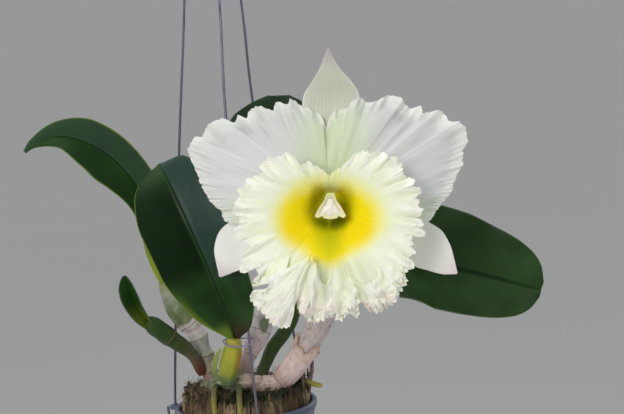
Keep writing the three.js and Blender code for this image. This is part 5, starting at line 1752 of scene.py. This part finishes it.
    def cap(self) -> Shape:
        """The anther cap: the hood's outline at 0.7 of its size, raised as a dome whose height falls with the
        square of the share from its middle, with a ridge down the middle and a groove on each side.

        Returns:
            The closed cap.
        """
        a = all_round(96)[None]
        t = np.linspace(0, 1, 26)[:, None]
        scale = 0.7 * np.sin(t * np.pi / 2 * 0.98 + 0.02)[::-1]
        r = self.hood(a[0])[None] * scale
        x, y = r * np.cos(a), r * np.sin(a) - 0.9
        dome = 21.6 + 3.1 * np.sqrt(np.clip(1 - (scale / 0.72) ** 2, 0, 1))
        ridge, groove = np.exp(-(x / 0.9) ** 2), np.exp(-((np.abs(x) - 2.0) / 0.7) ** 2)
        z = dome + (0.45 * ridge - 0.3 * groove) * (1 - scale)
        return tube(FLOWER.place(spread(x, y, z)))

    def build(self) -> None:
        """Makes the flower's pieces."""
        ends = FLOWER.place([[0, 0, -13], [0, 0, -6], [0, 0, 0]]).tolist()
        path = [[67, -12.6, 158.6], [68.5, -18, 174], [67, -30, 193], [62.5, -46, 203.5], *ends]
        radii = ((0, 2.6), (0.08, 2.9), (0.5, 2.9), (0.7, 3.6), (0.8, 4.4), (0.86, RECEPTACLE),
                 (1, RECEPTACLE))
        green = StemFinish(
            "flower_stalk", ((0.0, (0.24, 0.32, 0.10)), (0.5, (0.34, 0.42, 0.16)), (1.0, (0.62, 0.68, 0.42))),
            (0.30, 0.38, 0.12), blotch_share=0.4, fibre=0.2, speck_share=0.1, rough=0.4, soft=0.2)
        # The dorsal sepal's last value, 0.75, is its share of painted shade towards the tip.
        greenish = SepalFinish("sepal_greenish", (0.90, 0.93, 0.79), (0.37, 0.39, 0.32), (0.44, 0.33, 0.40),
                               15.0, 0.75)
        # Painted light: the lateral sepals' ground is paler than the dorsal's to lift the shadow that the lip
        # casts on them.
        lilac = SepalFinish("sepal_lilac", (0.93, 0.94, 0.89), (0.70, 0.73, 0.68), (0.70, 0.54, 0.60), 13.0)
        wax = ColumnFinish("column_wax", (0.84, 0.82, 0.52), (0.72, 0.76, 0.32), (0.86, 0.78, 0.62))
        pale_wax = ColumnFinish("anther_cap", (0.92, 0.89, 0.76), (0.90, 0.84, 0.76), (0.88, 0.72, 0.68))
        lateral, white = lilac.material(), PetalFinish().material()
        left_sepal = self.lateral(-1, 64.5, 42, 1, 22).sepal()
        right_sepal = self.lateral(1, 74.5, 40, 0.78, 23).sepal()
        left_petal = self.petal(-1, self.left_outline, (96, 188), -5.6, 51)
        right_petal = self.petal(1, self.right_outline, (-8, 92), -3.2, 61)
        for name, shape, material, slot, node in (
                ("stalk_skin", bar(path, radii, 40, 100, relief=Stems.skin(17, 0.12, 0.05)), green.material(),
                 Slot.GREEN, "flower_stalk"),
                ("dorsal_sepal", self.dorsal.sepal(), greenish.material(), Slot.PETAL, "sepal_dorsal"),
                ("lateral_sepal_left", left_sepal, lateral, Slot.PETAL, "sepal_left"),
                ("lateral_sepal_right", right_sepal, lateral, Slot.PETAL, "sepal_right"),
                ("ruffled_petal_left", left_petal, white, Slot.PETAL, "petal_left"),
                ("ruffled_petal_right", right_petal, white, Slot.PETAL, "petal_right"),
                ("ruffled_lip", self.lip(), LipFinish().material(), Slot.LIP, "lip"),
                ("column_hood", self.column(), wax.material(), Slot.COLUMN, "column")):
            piece(name, shape, material, slot, [node])
        piece("anther_cap", self.cap(), pale_wax.material(), Slot.COLUMN)


@dataclass
class Husk:
    """The filling: upright chunks of coconut husk with split slivers, loose fibres and moss on them."""

    bounds: tuple[float, ...] = (-116, -84, -52, -22, 30, 88, 140, 196, 244)
    tops: tuple[float, ...] = (88, 88.5, 89.5, 89, 87.5, 89, 90.5, 92)
    slit: float = 0.7
    tuft_z: float = 86.0

    @staticmethod
    def inside(z: Array) -> Array:
        """The radius inside the basket's wall at a height."""
        return mix(FOOT_R, RIM_R, np.minimum(z, RIM_Z) / RIM_Z) - WALL - 0.5

    def chunk(self, outline: Table, top: float, seed: int) -> Shape:
        """An upright block over an outline of radius share and angle: grooved by noise stretched along z,
        drawn in at its top, whose surface is a ragged field of fibre ends.

        Args:
            outline: the outline's corners.
            top: its height.
            seed: picks its grooves.

        Returns:
            The closed chunk.
        """
        corner = np.asarray(outline, float)
        corner = np.vstack([corner, corner[:1]])
        step = np.linspace(0, len(outline), 97)[:-1]
        share = np.interp(step, np.arange(len(corner)), corner[:, 0])
        angle = np.radians(np.interp(step, np.arange(len(corner)), corner[:, 1]))
        z = np.concatenate([np.linspace(WALL + 0.4, RIM_Z - 2, 18), np.linspace(RIM_Z, top, 12)])[:, None]
        flat = spread(share * np.cos(angle), share * np.sin(angle)) * 40
        where = spread(flat[:, 0], flat[:, 1], z * 0.06)
        groove = 0.55 * rumple(where, 3.2, seed) + 0.35 * rumple(where, 1.3, seed + 1)
        lean = 1 - 0.05 * ease((z - 80) / (top - 80))
        cut = np.clip(groove + 0.35, -0.25, 1.5) * np.where(share > 0.9, 1.0, 0.4)
        r = share * self.inside(z) * lean - cut
        ragged = 1.6 + 1.5 * rumple(flat, 5.0, seed + 2) + 0.9 * rumple(flat, 1.6, seed + 3)
        height = z - np.clip(ragged, 0, 3.4) * ease((z - 82) / (top - 82))
        body = polar(r, angle, height)
        middle = body[-1].mean(0)
        t = np.linspace(0.12, 0.94, 9)[:, None, None]
        lid = mix(body[-1][None], middle, t)
        flat = lid[..., :2]
        lid[..., 2] += rumple(flat, 4.0, seed + 4) * 0.8 + rumple(flat, 1.4, seed + 5) * 0.5 - 0.4
        return tube(np.concatenate([body, lid]), ends=(body[0].mean(0), middle - [0, 0, 0.8]))

    def slivers(self, rng: np.random.Generator, low: float, high: float, count: int, more: float) -> Shape:
        """Split pieces that stand at the chunk's outer face: narrow blades whose width falls to a torn tip.

        Args:
            rng: the dice.
            low: first angle.
            high: last angle.
            count: how many.
            more: how much taller the tallest may be.

        Returns:
            The slivers as one shape.
        """
        made = []
        for angle in np.radians(rng.uniform(low, high, count)):
            way = np.array([math.cos(angle), math.sin(angle), 0])
            over = np.array([-way[1], way[0], 0])
            foot, tall = rng.uniform(62, 72), rng.uniform(14, 22 + more)
            r = self.inside(np.array(RIM_Z)) - rng.uniform(0.9, 2.6)
            t = np.linspace(0, 1, 14)[:, None]
            v = np.linspace(-1, 1, 7)[None]
            wide = rng.uniform(1.2, 2.6) * (1 - 0.75 * t ** 2.5)
            lean, twist = rng.uniform(-1.5, 0.4), rng.uniform(-2.5, 2.5)
            up = t[..., None]
            spine = way * (r + lean * up - 1.1 * (1 - up)) + over * twist * up ** 2
            grid = spine + over * (v * wide)[..., None] + np.array([0, 0, 1.0]) * (foot + tall * t)[..., None]
            grain = 0.3 * rumple(spread(t * 9, v * 2), 2.0, int(rng.integers(999)))
            grid = grid + way * grain[..., None]
            made.append(sheet(grid, 0.45, 0.45))
        return Shape.joined(made)

    def tufts(self, rng: np.random.Generator, count: int, radii: Pair, tall: Pair, thick: Pair) -> Shape:
        """Strands that rise in all directions from the top of the filling.

        Args:
            rng: the dice.
            count: how many strands.
            radii: the ring of the filling they stand on.
            tall: their least and greatest length.
            thick: their least and greatest radius.

        Returns:
            The strands as one shape.
        """
        a = rng.uniform(0, 2 * np.pi, count)
        r = np.sqrt(rng.uniform(radii[0] ** 2, radii[1] ** 2, count))
        foot = polar(r, a, self.tuft_z + rng.uniform(0, 2.5, count))
        way = unit(rng.normal(size=(count, 3)) * [0.8, 0.8, 0.35] + [0, 0, 0.75])
        ahead = way * rng.uniform(*tall, count)[:, None]
        droop = rng.normal(size=(count, 3)) * [1.2, 1.2, 0.4] - [0, 0, 0.8]
        return strands(foot, ahead, droop, rng.uniform(*thick, count))

    def overhang(self, rng: np.random.Generator, count: int) -> Shape:
        """Strands that hang from the filling's front edge, in clumps: outwards first and then down.

        Args:
            rng: the dice.
            count: how many strands.

        Returns:
            The strands as one shape.
        """
        clumps = rng.uniform(-165, 15, 16)
        a = np.radians(rng.choice(clumps, count) + rng.normal(0, 5, count))
        way = polar(1.0, a, 0.0)
        foot = polar(rng.uniform(31, 37.5, count), a, rng.uniform(87, 91, count))
        ahead = way * rng.uniform(1.0, 3.6, count)[:, None] + rng.normal(size=(count, 3)) * [1, 1, 0.8]
        droop = rng.normal(size=(count, 3)) * 0.5 - np.array([0, 0, 1.0]) * rng.uniform(1, 6, count)[:, None]
        return strands(foot, ahead, droop, rng.uniform(0.16, 0.4, count))

    def build(self) -> None:
        """Makes the chunks, then the moss and the loose fibres on them."""
        tones = (("husk_pale", (0.17, 0.105, 0.055), (0.38, 0.27, 0.155)),
                 ("husk_brown", (0.070, 0.034, 0.014), (0.165, 0.092, 0.040)),
                 ("husk_tan", (0.12, 0.072, 0.034), (0.28, 0.19, 0.105)))
        dry = [HuskFinish(*tone).material() for tone in tones]
        rng = np.random.default_rng(12)
        for i, top in enumerate(self.tops):
            low, high = self.bounds[i] + self.slit, self.bounds[i + 1] - self.slit
            outline = [(0.44, high - 1), (0.42, (low + high) / 2), (0.44, low + 1)]
            outline += [(0.985 - 0.012 * (k % 2) if k % 4 else 0.96, mix(low, high, k / 4)) for k in range(5)]
            body = self.chunk(outline, top, 100 + 10 * i)
            tall = 9.0 if i in (3, 7) else 0.0
            split = self.slivers(rng, low + 3, high - 3, int((high - low) / 5), tall)
            piece(f"husk_chunk_{i + 1}", Shape.joined([body, split]), dry[(i * 2) % 3], Slot.HUSK,
                  [f"husk_{i + 1}"])
        core = [(0.37 + 0.02 * (k % 2), k * 45) for k in range(8)]
        piece("husk_core", self.chunk(core, 88, 190), dry[1], Slot.HUSK, ["husk_middle"])
        moss = MossFinish("moss", (0.004, 0.005, 0.002), (0.045, 0.065, 0.014)).material()
        tufts = self.tufts(rng, 2600, (2, 35), (2.0, 6.0), (0.18, 0.45))
        piece("moss", Shape.joined([tufts, self.overhang(rng, 1500)]), moss, Slot.HUSK)
        fibre = MossFinish("husk_fibre", (0.08, 0.05, 0.025), (0.38, 0.28, 0.16)).material()
        piece("loose_fibres", self.tufts(rng, 420, (20, 38), (4.0, 10.0), (0.10, 0.22)), fibre, Slot.HUSK)


@dataclass
class Roots:
    """Roots that leave the rhizome and run over the husk."""

    paths: dict[str, tuple[Table, Table]] = field(default_factory=lambda: {
        "root_front_left": (
            ((-15, -13, 91), (-16, -23, 95), (-17.2, -31, 95), (-18, -34.4, 88), (-17.6, -33.6, 74)),
            ((0, 1.6), (0.9, 1.7), (1, 0.9))),
        "root_front": (
            ((-2, -21, 91.5), (-2, -31, 95.5), (-2, -37.5, 94), (-2.3, -39.4, 86), (-2, -38.6, 72)),
            ((0, 1.6), (0.9, 1.8), (1, 0.9))),
        "root_right": (
            ((29, -6.5, 91), (36, -7, 91.5), (42, -8, 89), (48, -6.5, 86.5)),
            ((0, 1.6), (0.85, 1.7), (1, 1))),
        "root_dry_right": (((39.6, -4, 82), (41, -3, 90), (42.6, -2.5, 97), (43, -2, 105.5)),
                           ((0, 1), (0.7, 1.3), (1, 0.6))),
    })

    def build(self) -> None:
        """Makes the roots, the live ones greenish at their tips and the dry one brown."""
        live = StemFinish(
            "root_skin", ((0.0, (0.06, 0.07, 0.03)), (0.45, (0.08, 0.09, 0.03)), (0.7, (0.30, 0.26, 0.05)),
                          (1.0, (0.42, 0.38, 0.06))),
            (0.16, 0.14, 0.06), fibre=0.4, speck_share=0.3)
        dry = StemFinish(
            "root_dry", ((0.0, (0.20, 0.13, 0.10)), (0.6, (0.34, 0.24, 0.22)), (1.0, (0.26, 0.18, 0.16))),
            (0.14, 0.09, 0.07), speck_share=0.3, rough=0.85)
        skins = {"live": live.material(), "dry": dry.material()}
        for seed, (name, (path, radii)) in enumerate(self.paths.items()):
            kind = "dry" if "dry" in name else "live"
            skin = bar(path, radii, 20, 60, relief=Stems.skin(70 + seed, 0.06, 0.12))
            piece(f"{name}_skin", skin, skins[kind], Slot.ROOT, [name])


@dataclass
class Basket:
    """The slotted basket: a tapering pot with a rolled rim, twelve upright slots, a slotted floor and three
    lugs. A slot takes the stretch between two of the profile's rows, and arc counts the lines beside it."""

    outer: Table = ((0.6, 0), (12, 0), (17, 0), (27, 0), (30.5, 0), (31.2, 0.3), (31.6, 1.0), (31.9, 4),
                    (33.35, 12), (37.2, 37.5), (41.04, 62), (42.27, 70), (43.4, 73), (44.0, 74.4),
                    (44.25, 76), (44.2, 77.2), (43.6, 78))
    inner: Table = ((0.6, 1.6), (12, 1.6), (17, 1.6), (27, 1.6), (28.4, 1.6), (29.0, 1.7), (29.6, 2.2),
                    (30.4, 4.2), (31.75, 12), (35.6, 37.5), (39.44, 62), (40.67, 70), (41.1, 73),
                    (41.2, 74.4), (41.35, 76), (41.4, 77.2), (41.8, 78))
    floor_slot: tuple[int, int] = (2, 3)
    wall_slot: tuple[int, int] = (8, 10)
    floor_slot_half: float = 2.0
    wall_slot_half: float = 2.5
    arc: int = 6
    lug_reach: float = 3.6
    lug_half: float = 1.3
    lug_drop: float = 2.2
    soft_edge: float = 0.2

    def shell(self) -> Shape:
        """Outer and inner surface carried round, each 30-degree part with lines at its slot's edges; the
        cells inside a slot are left out and walls join the two surfaces round it.

        Returns:
            The closed shell, without lugs.
        """
        outer, inner = np.asarray(self.outer, float), np.asarray(self.inner, float)
        half = np.where(np.arange(len(outer)) < 4, self.floor_slot_half, self.wall_slot_half)
        middles = (np.arange(SLOTS) + 0.5) * 2 * np.pi / SLOTS
        reach = np.arcsin(np.clip(half[:, None] / np.maximum(outer[:, :1], 12), 0, 0.2))
        arc = np.linspace(0, 1, self.arc)[:-1]
        third = np.pi / SLOTS
        across = [(middles - third)[None, :, None] + arc * (third - reach)[..., None],
                  (middles[None] - reach)[..., None] + np.linspace(0, 1, 5)[:-1] * (2 * reach)[..., None],
                  (middles[None] + reach)[..., None] + arc * (third - reach)[..., None]]
        a = np.concatenate(across, -1).reshape(len(outer), -1)
        columns = a.shape[1]
        each = columns // SLOTS
        place = np.arange(columns) % each
        in_slot = (place >= self.arc - 1) & (place < self.arc + 3)
        sector = np.arange(columns) // each
        n = len(outer)
        rows = np.arange(n - 1)[:, None]
        wall = (rows >= self.wall_slot[0]) & (rows < self.wall_slot[1]) & in_slot[None]
        odd = (sector % 2 == 1)[None]
        floor = (rows >= self.floor_slot[0]) & (rows < self.floor_slot[1]) & in_slot[None] & odd
        there = ~(wall | floor)
        corners = np.concatenate([polar(p[:, :1], a, p[:, 1:]).reshape(-1, 3) for p in (outer, inner)])
        quads, uv = quads_between(n, columns, np.linspace(0, 1, columns + 1), np.linspace(0, 1, n), True)
        keep = there.ravel()
        half_count = n * columns

        def across_wall(a: Array, b: Array) -> Array:
            """Quads from the outer corners a and b to the inner ones."""
            return spread(a, b, b + half_count, a + half_count)

        faces = [quads[keep], quads[keep][:, ::-1] + half_count]
        maps = [uv[keep], uv[keep][:, ::-1]]
        beside = np.roll(there, 1, 1)
        i, j = np.nonzero(there != beside)
        side = across_wall(i * columns + j, (i + 1) * columns + j)
        faces.append(np.where(there[i, j][:, None], side[:, ::-1], side))
        i, j = np.nonzero(there[1:] != there[:-1])
        ledge = across_wall((i + 1) * columns + j, (i + 1) * columns + (j + 1) % columns)
        faces.append(np.where(there[i + 1, j][:, None], ledge, ledge[:, ::-1]))
        j = np.arange(columns)
        over = (j + 1) % columns
        top = (n - 1) * columns
        faces.append(across_wall(top + j, top + over)[:, ::-1])
        maps.append(np.zeros((sum(len(f) for f in faces[2:]), 4, 2)))
        tris = np.vstack([spread(2 * half_count, over, j),
                          spread(2 * half_count + 1, half_count + j, half_count + over)])
        corners = np.vstack([corners, [0, 0, 0], [0, 0, WALL]])
        tri_uv = np.zeros((len(tris), 3, 2))
        return Shape(corners, np.vstack(faces), np.concatenate(maps), tris, tri_uv).outward()

    def lug(self, degrees: float) -> Shape:
        """A flat ring outside the rim: a rounded square section carried round a circle.

        Args:
            degrees: where round the rim it is.

        Returns:
            The closed ring.
        """
        section = all_round(16)
        middle, half = (self.lug_reach + LUG_HOLE) / 2, (self.lug_reach - LUG_HOLE) / 2
        turn = spread(np.cos(section), np.sin(section))
        squared = np.sign(turn) * np.abs(turn) ** 0.4 * [half, self.lug_half]
        rings = polar(middle + squared[None, :, 0], all_round(40)[:, None],
                      RIM_Z - self.lug_drop + squared[None, :, 1])
        return tube(rings + polar(LUG_R, math.radians(degrees), 0.0), closed=True)

    def build(self) -> None:
        """Makes the shell with its lugs."""
        parts = [self.shell(), *(self.lug(angle) for angle in WIRE_ANGLES.values())]
        plastic = PlasticFinish().material()
        made = piece("basket_shell", Shape.joined(parts), plastic, Slot.BASKET, ["basket"], crease=35)
        rounded = made.modifiers.new("soft_edges", "BEVEL")
        rounded.width = self.soft_edge / 1000
        rounded.segments = 2
        rounded.limit_method = "ANGLE"
        rounded.angle_limit = math.radians(50)


@dataclass
class Hanger:
    """Three wires from the lugs to a collar, the hook above it and a thin tie round the front leaf's foot."""

    bends: dict[str, Table] = field(default_factory=lambda: {
        "front": ((3.9, -20.3, RIM_Z + 251), (2.6, -27.4, RIM_Z + 183), (6.8, -41.5, RIM_Z + 42)),
        "right": ((15.8, 13.3, RIM_Z + 249), (18.2, 17.2, RIM_Z + 185)),
        "left": ((-18.4, 5.3, RIM_Z + 251), (-29.5, 7.8, RIM_Z + 157)),
    })
    under: Table = ((0, 2.5), (0, -2), (0, -6), (0.8, -8), (2.6, -9), (4.4, -8), (5, -6), (5, -2))
    tie: Table = ((-9.5, -33, 124.5), (-6, -38.6, 122.8), (0, -41.5, 122.5), (6, -43.2, 123.4),
                  (9.6, -41.4, 125), (8, -37.6, 126), (3.5, -32, 125.4), (-2, -26.2, 124.4),
                  (-7.6, -27.4, 124.6))

    def wire(self, name: str) -> Shape:
        """A round wire from the collar down through its lug and up in a small hook below it.

        Args:
            name: which of the wires.

        Returns:
            The closed wire.
        """
        at = math.radians(WIRE_ANGLES[name])
        under = (polar(LUG_R + r, at, RIM_Z + z) for r, z in self.under)
        path = [polar(2.3, at, COLLAR_Z + 7), *self.bends[name], *under]
        return bar(path, ((0, WIRE), (1, WIRE)), sides=16, rings=420)

    def build(self) -> None:
        """Makes the wires, collar, hook and tie."""
        zinc = WireFinish("hanger_wire", (0.15, 0.145, 0.20), (0.08, 0.075, 0.11), 0.5, 0.34).material()
        for name in WIRE_ANGLES:
            piece(f"wire_{name}", self.wire(name), zinc, Slot.WIRE, [f"hanger_wire_{name}"])
        top = COLLAR_Z + COLLAR_H
        steps = ((0, COLLAR_Z), (COLLAR_R - 0.8, COLLAR_Z), (COLLAR_R - 0.2, COLLAR_Z + 0.25),
                 (COLLAR_R, COLLAR_Z + 0.8), (COLLAR_R, COLLAR_Z + 4), (COLLAR_R - 0.15, COLLAR_Z + 4.6),
                 (COLLAR_R - 0.5, COLLAR_Z + 5), (COLLAR_R - 0.5, COLLAR_Z + 9),
                 (COLLAR_R - 0.15, COLLAR_Z + 9.4), (COLLAR_R, COLLAR_Z + 10),
                 (COLLAR_R, top - 0.8), (COLLAR_R - 0.2, top - 0.25), (COLLAR_R - 0.8, top), (0, top))
        piece("wire_collar", turned(steps), zinc, Slot.WIRE, ["hanger_collar"])
        path = [(0, 0, top - 4), (0, 0, top + 3), (1.2, 0, top + 8), (5, 0, top + 14.5), (9.4, 0, top + 21),
                (11.6, 0, top + 26)]
        turn = np.radians(np.arange(13) * 17.5)
        path += [(HOOK_R * math.cos(a), 0, top + HOOK_RISE + HOOK_R * math.sin(a)) for a in turn]
        hook = bar(path, ((0, HOOK_WIRE), (0.985, HOOK_WIRE), (1, 0.7)), sides=20, rings=160)
        piece("wire_hook", hook, zinc, Slot.WIRE, ["hanger_hook"])
        white = WireFinish("tie_wire", (0.24, 0.23, 0.34), (0.15, 0.14, 0.21), 0.0, 0.4).material()
        tie = bar(self.tie, ((0, 0.5), (1, 0.5)), sides=12, rings=120, closed=True)
        piece("thin_tie", tie, white, Slot.TIE, ["wire_tie"])


@dataclass
class Studio:
    """A plain pale floor, soft lamps and the camera."""

    camera_at: Place = (0.050003, -1.208863, -0.185139)
    right: Place = (0.99731, -0.01019, -0.07253)
    up: Place = (0.07324, 0.13880, 0.98761)
    back: Place = (0.0, -0.99027, 0.13917)
    lens: float = 114.39
    floor_z: float = -1.25
    horizon: float = 0.32
    zenith: float = 0.42
    aim: Place = (0.04, -0.05, -0.36)
    lamps: tuple[tuple[str, Place, float, float, Colour], ...] = (
        ("key", (-0.6, -1.5, 0.25), 0.7, 15, (1.0, 0.99, 0.97)),
        ("fill", (1.2, -1.1, -0.1), 1.0, 3, (0.96, 0.98, 1.0)),
        ("top", (0.1, 0.1, 0.75), 0.9, 6, (1.0, 1.0, 1.0)),
        ("rear_left", (-1.1, 1.0, 0.1), 0.9, 4, (1.0, 1.0, 1.0)),
        ("rear_right", (1.1, 1.0, 0.0), 0.9, 4, (1.0, 1.0, 1.0)))

    def floor(self) -> None:
        """A wide disc well below the hanging basket."""
        edge = polar(300, all_round(96), self.floor_z)
        mesh = bpy.data.meshes.new("floor")
        mesh.from_pydata(edge.tolist(), [], [list(range(96))])
        g = Graph("floor")
        tone = g.noise(g.places, 1.2)
        mesh.materials.append(g.finished(g.blend((0.80, 0.80, 0.79), (0.84, 0.83, 0.82), tone), 0.8))
        made = bpy.data.objects.new("floor", mesh)
        bpy.context.scene.collection.objects.link(made)

    @staticmethod
    def stand(made: bpy.types.Object, *columns: Array | Place) -> None:
        """Puts a lamp or the camera into the scene.

        Args:
            made: the lamp or camera.
            *columns: its right, up and back directions and its place.
        """
        frame = np.eye(4)
        frame[:3] = np.stack([np.array(column, float) for column in columns], -1)
        made.matrix_world = Matrix(frame.tolist())
        bpy.context.scene.collection.objects.link(made)

    def lamp(self, name: str, at: Place, size: float, power: float, colour: Colour) -> None:
        """A square soft lamp that points at the plant.

        Args:
            name: its name.
            at: where it is.
            size: the side of its square.
            power: its power in watts.
            colour: its light's colour.
        """
        light = bpy.data.lights.new(name, "AREA")
        light.shape = "SQUARE"
        light.size = size
        light.energy = power
        light.color = colour
        made = bpy.data.objects.new(name, light)
        away = unit(np.array(at) - np.array(self.aim))
        over = unit(np.cross([0, 0, 1.0] if abs(away[2]) < 0.95 else [0, 1.0, 0], away))
        self.stand(made, over, np.cross(away, over), away, at)

    def sky(self) -> None:
        """A world whose strength rises with height from the horizon's to the zenith's."""
        world = bpy.data.worlds.new("studio")
        world.use_nodes = True
        nodes, links = world.node_tree.nodes, world.node_tree.links
        glow = next(n for n in nodes if n.type == "BACKGROUND")
        glow.inputs["Color"].default_value = (0.97, 0.98, 1.0, 1.0)
        way = nodes.new("ShaderNodeTexCoord").outputs["Generated"]
        split = nodes.new("ShaderNodeSeparateXYZ")
        rise = nodes.new("ShaderNodeMapRange")
        rise.inputs["To Min"].default_value = self.horizon
        rise.inputs["To Max"].default_value = self.zenith
        links.new(way, split.inputs[0])
        links.new(split.outputs[2], rise.inputs["Value"])
        links.new(rise.outputs[0], glow.inputs["Strength"])
        bpy.context.scene.world = world

    def camera(self) -> None:
        """The camera at the place from which the photograph was taken."""
        view = bpy.data.cameras.new("camera")
        view.lens = self.lens
        view.sensor_width = 36
        view.sensor_fit = "HORIZONTAL"
        view.clip_start = 0.05
        view.clip_end = 100
        made = bpy.data.objects.new("camera", view)
        self.stand(made, self.right, self.up, self.back, self.camera_at)
        bpy.context.scene.camera = made

    def build(self) -> None:
        """Sets the floor, lamps, world and camera."""
        self.floor()
        for row in self.lamps:
            self.lamp(*row)
        self.sky()
        bpy.context.scene.view_settings.view_transform = "Standard"
        self.camera()


def main() -> None:
    """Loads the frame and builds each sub-assembly."""
    logging.basicConfig(level=logging.INFO, format="%(message)s")
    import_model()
    for part in (Studio(), Basket(), Husk(), Roots(), Stems(), Leaves(), Flower(), Hanger()):
        LOG.info("building %s", type(part).__name__)
        part.build()
    shown = [o for o in bpy.context.scene.objects if o.type == "MESH" and not o.hide_render]
    LOG.info("triangles: %d", sum(len(f.vertices) - 2 for o in shown for f in o.data.polygons))


if __name__ == "__main__":
    main()
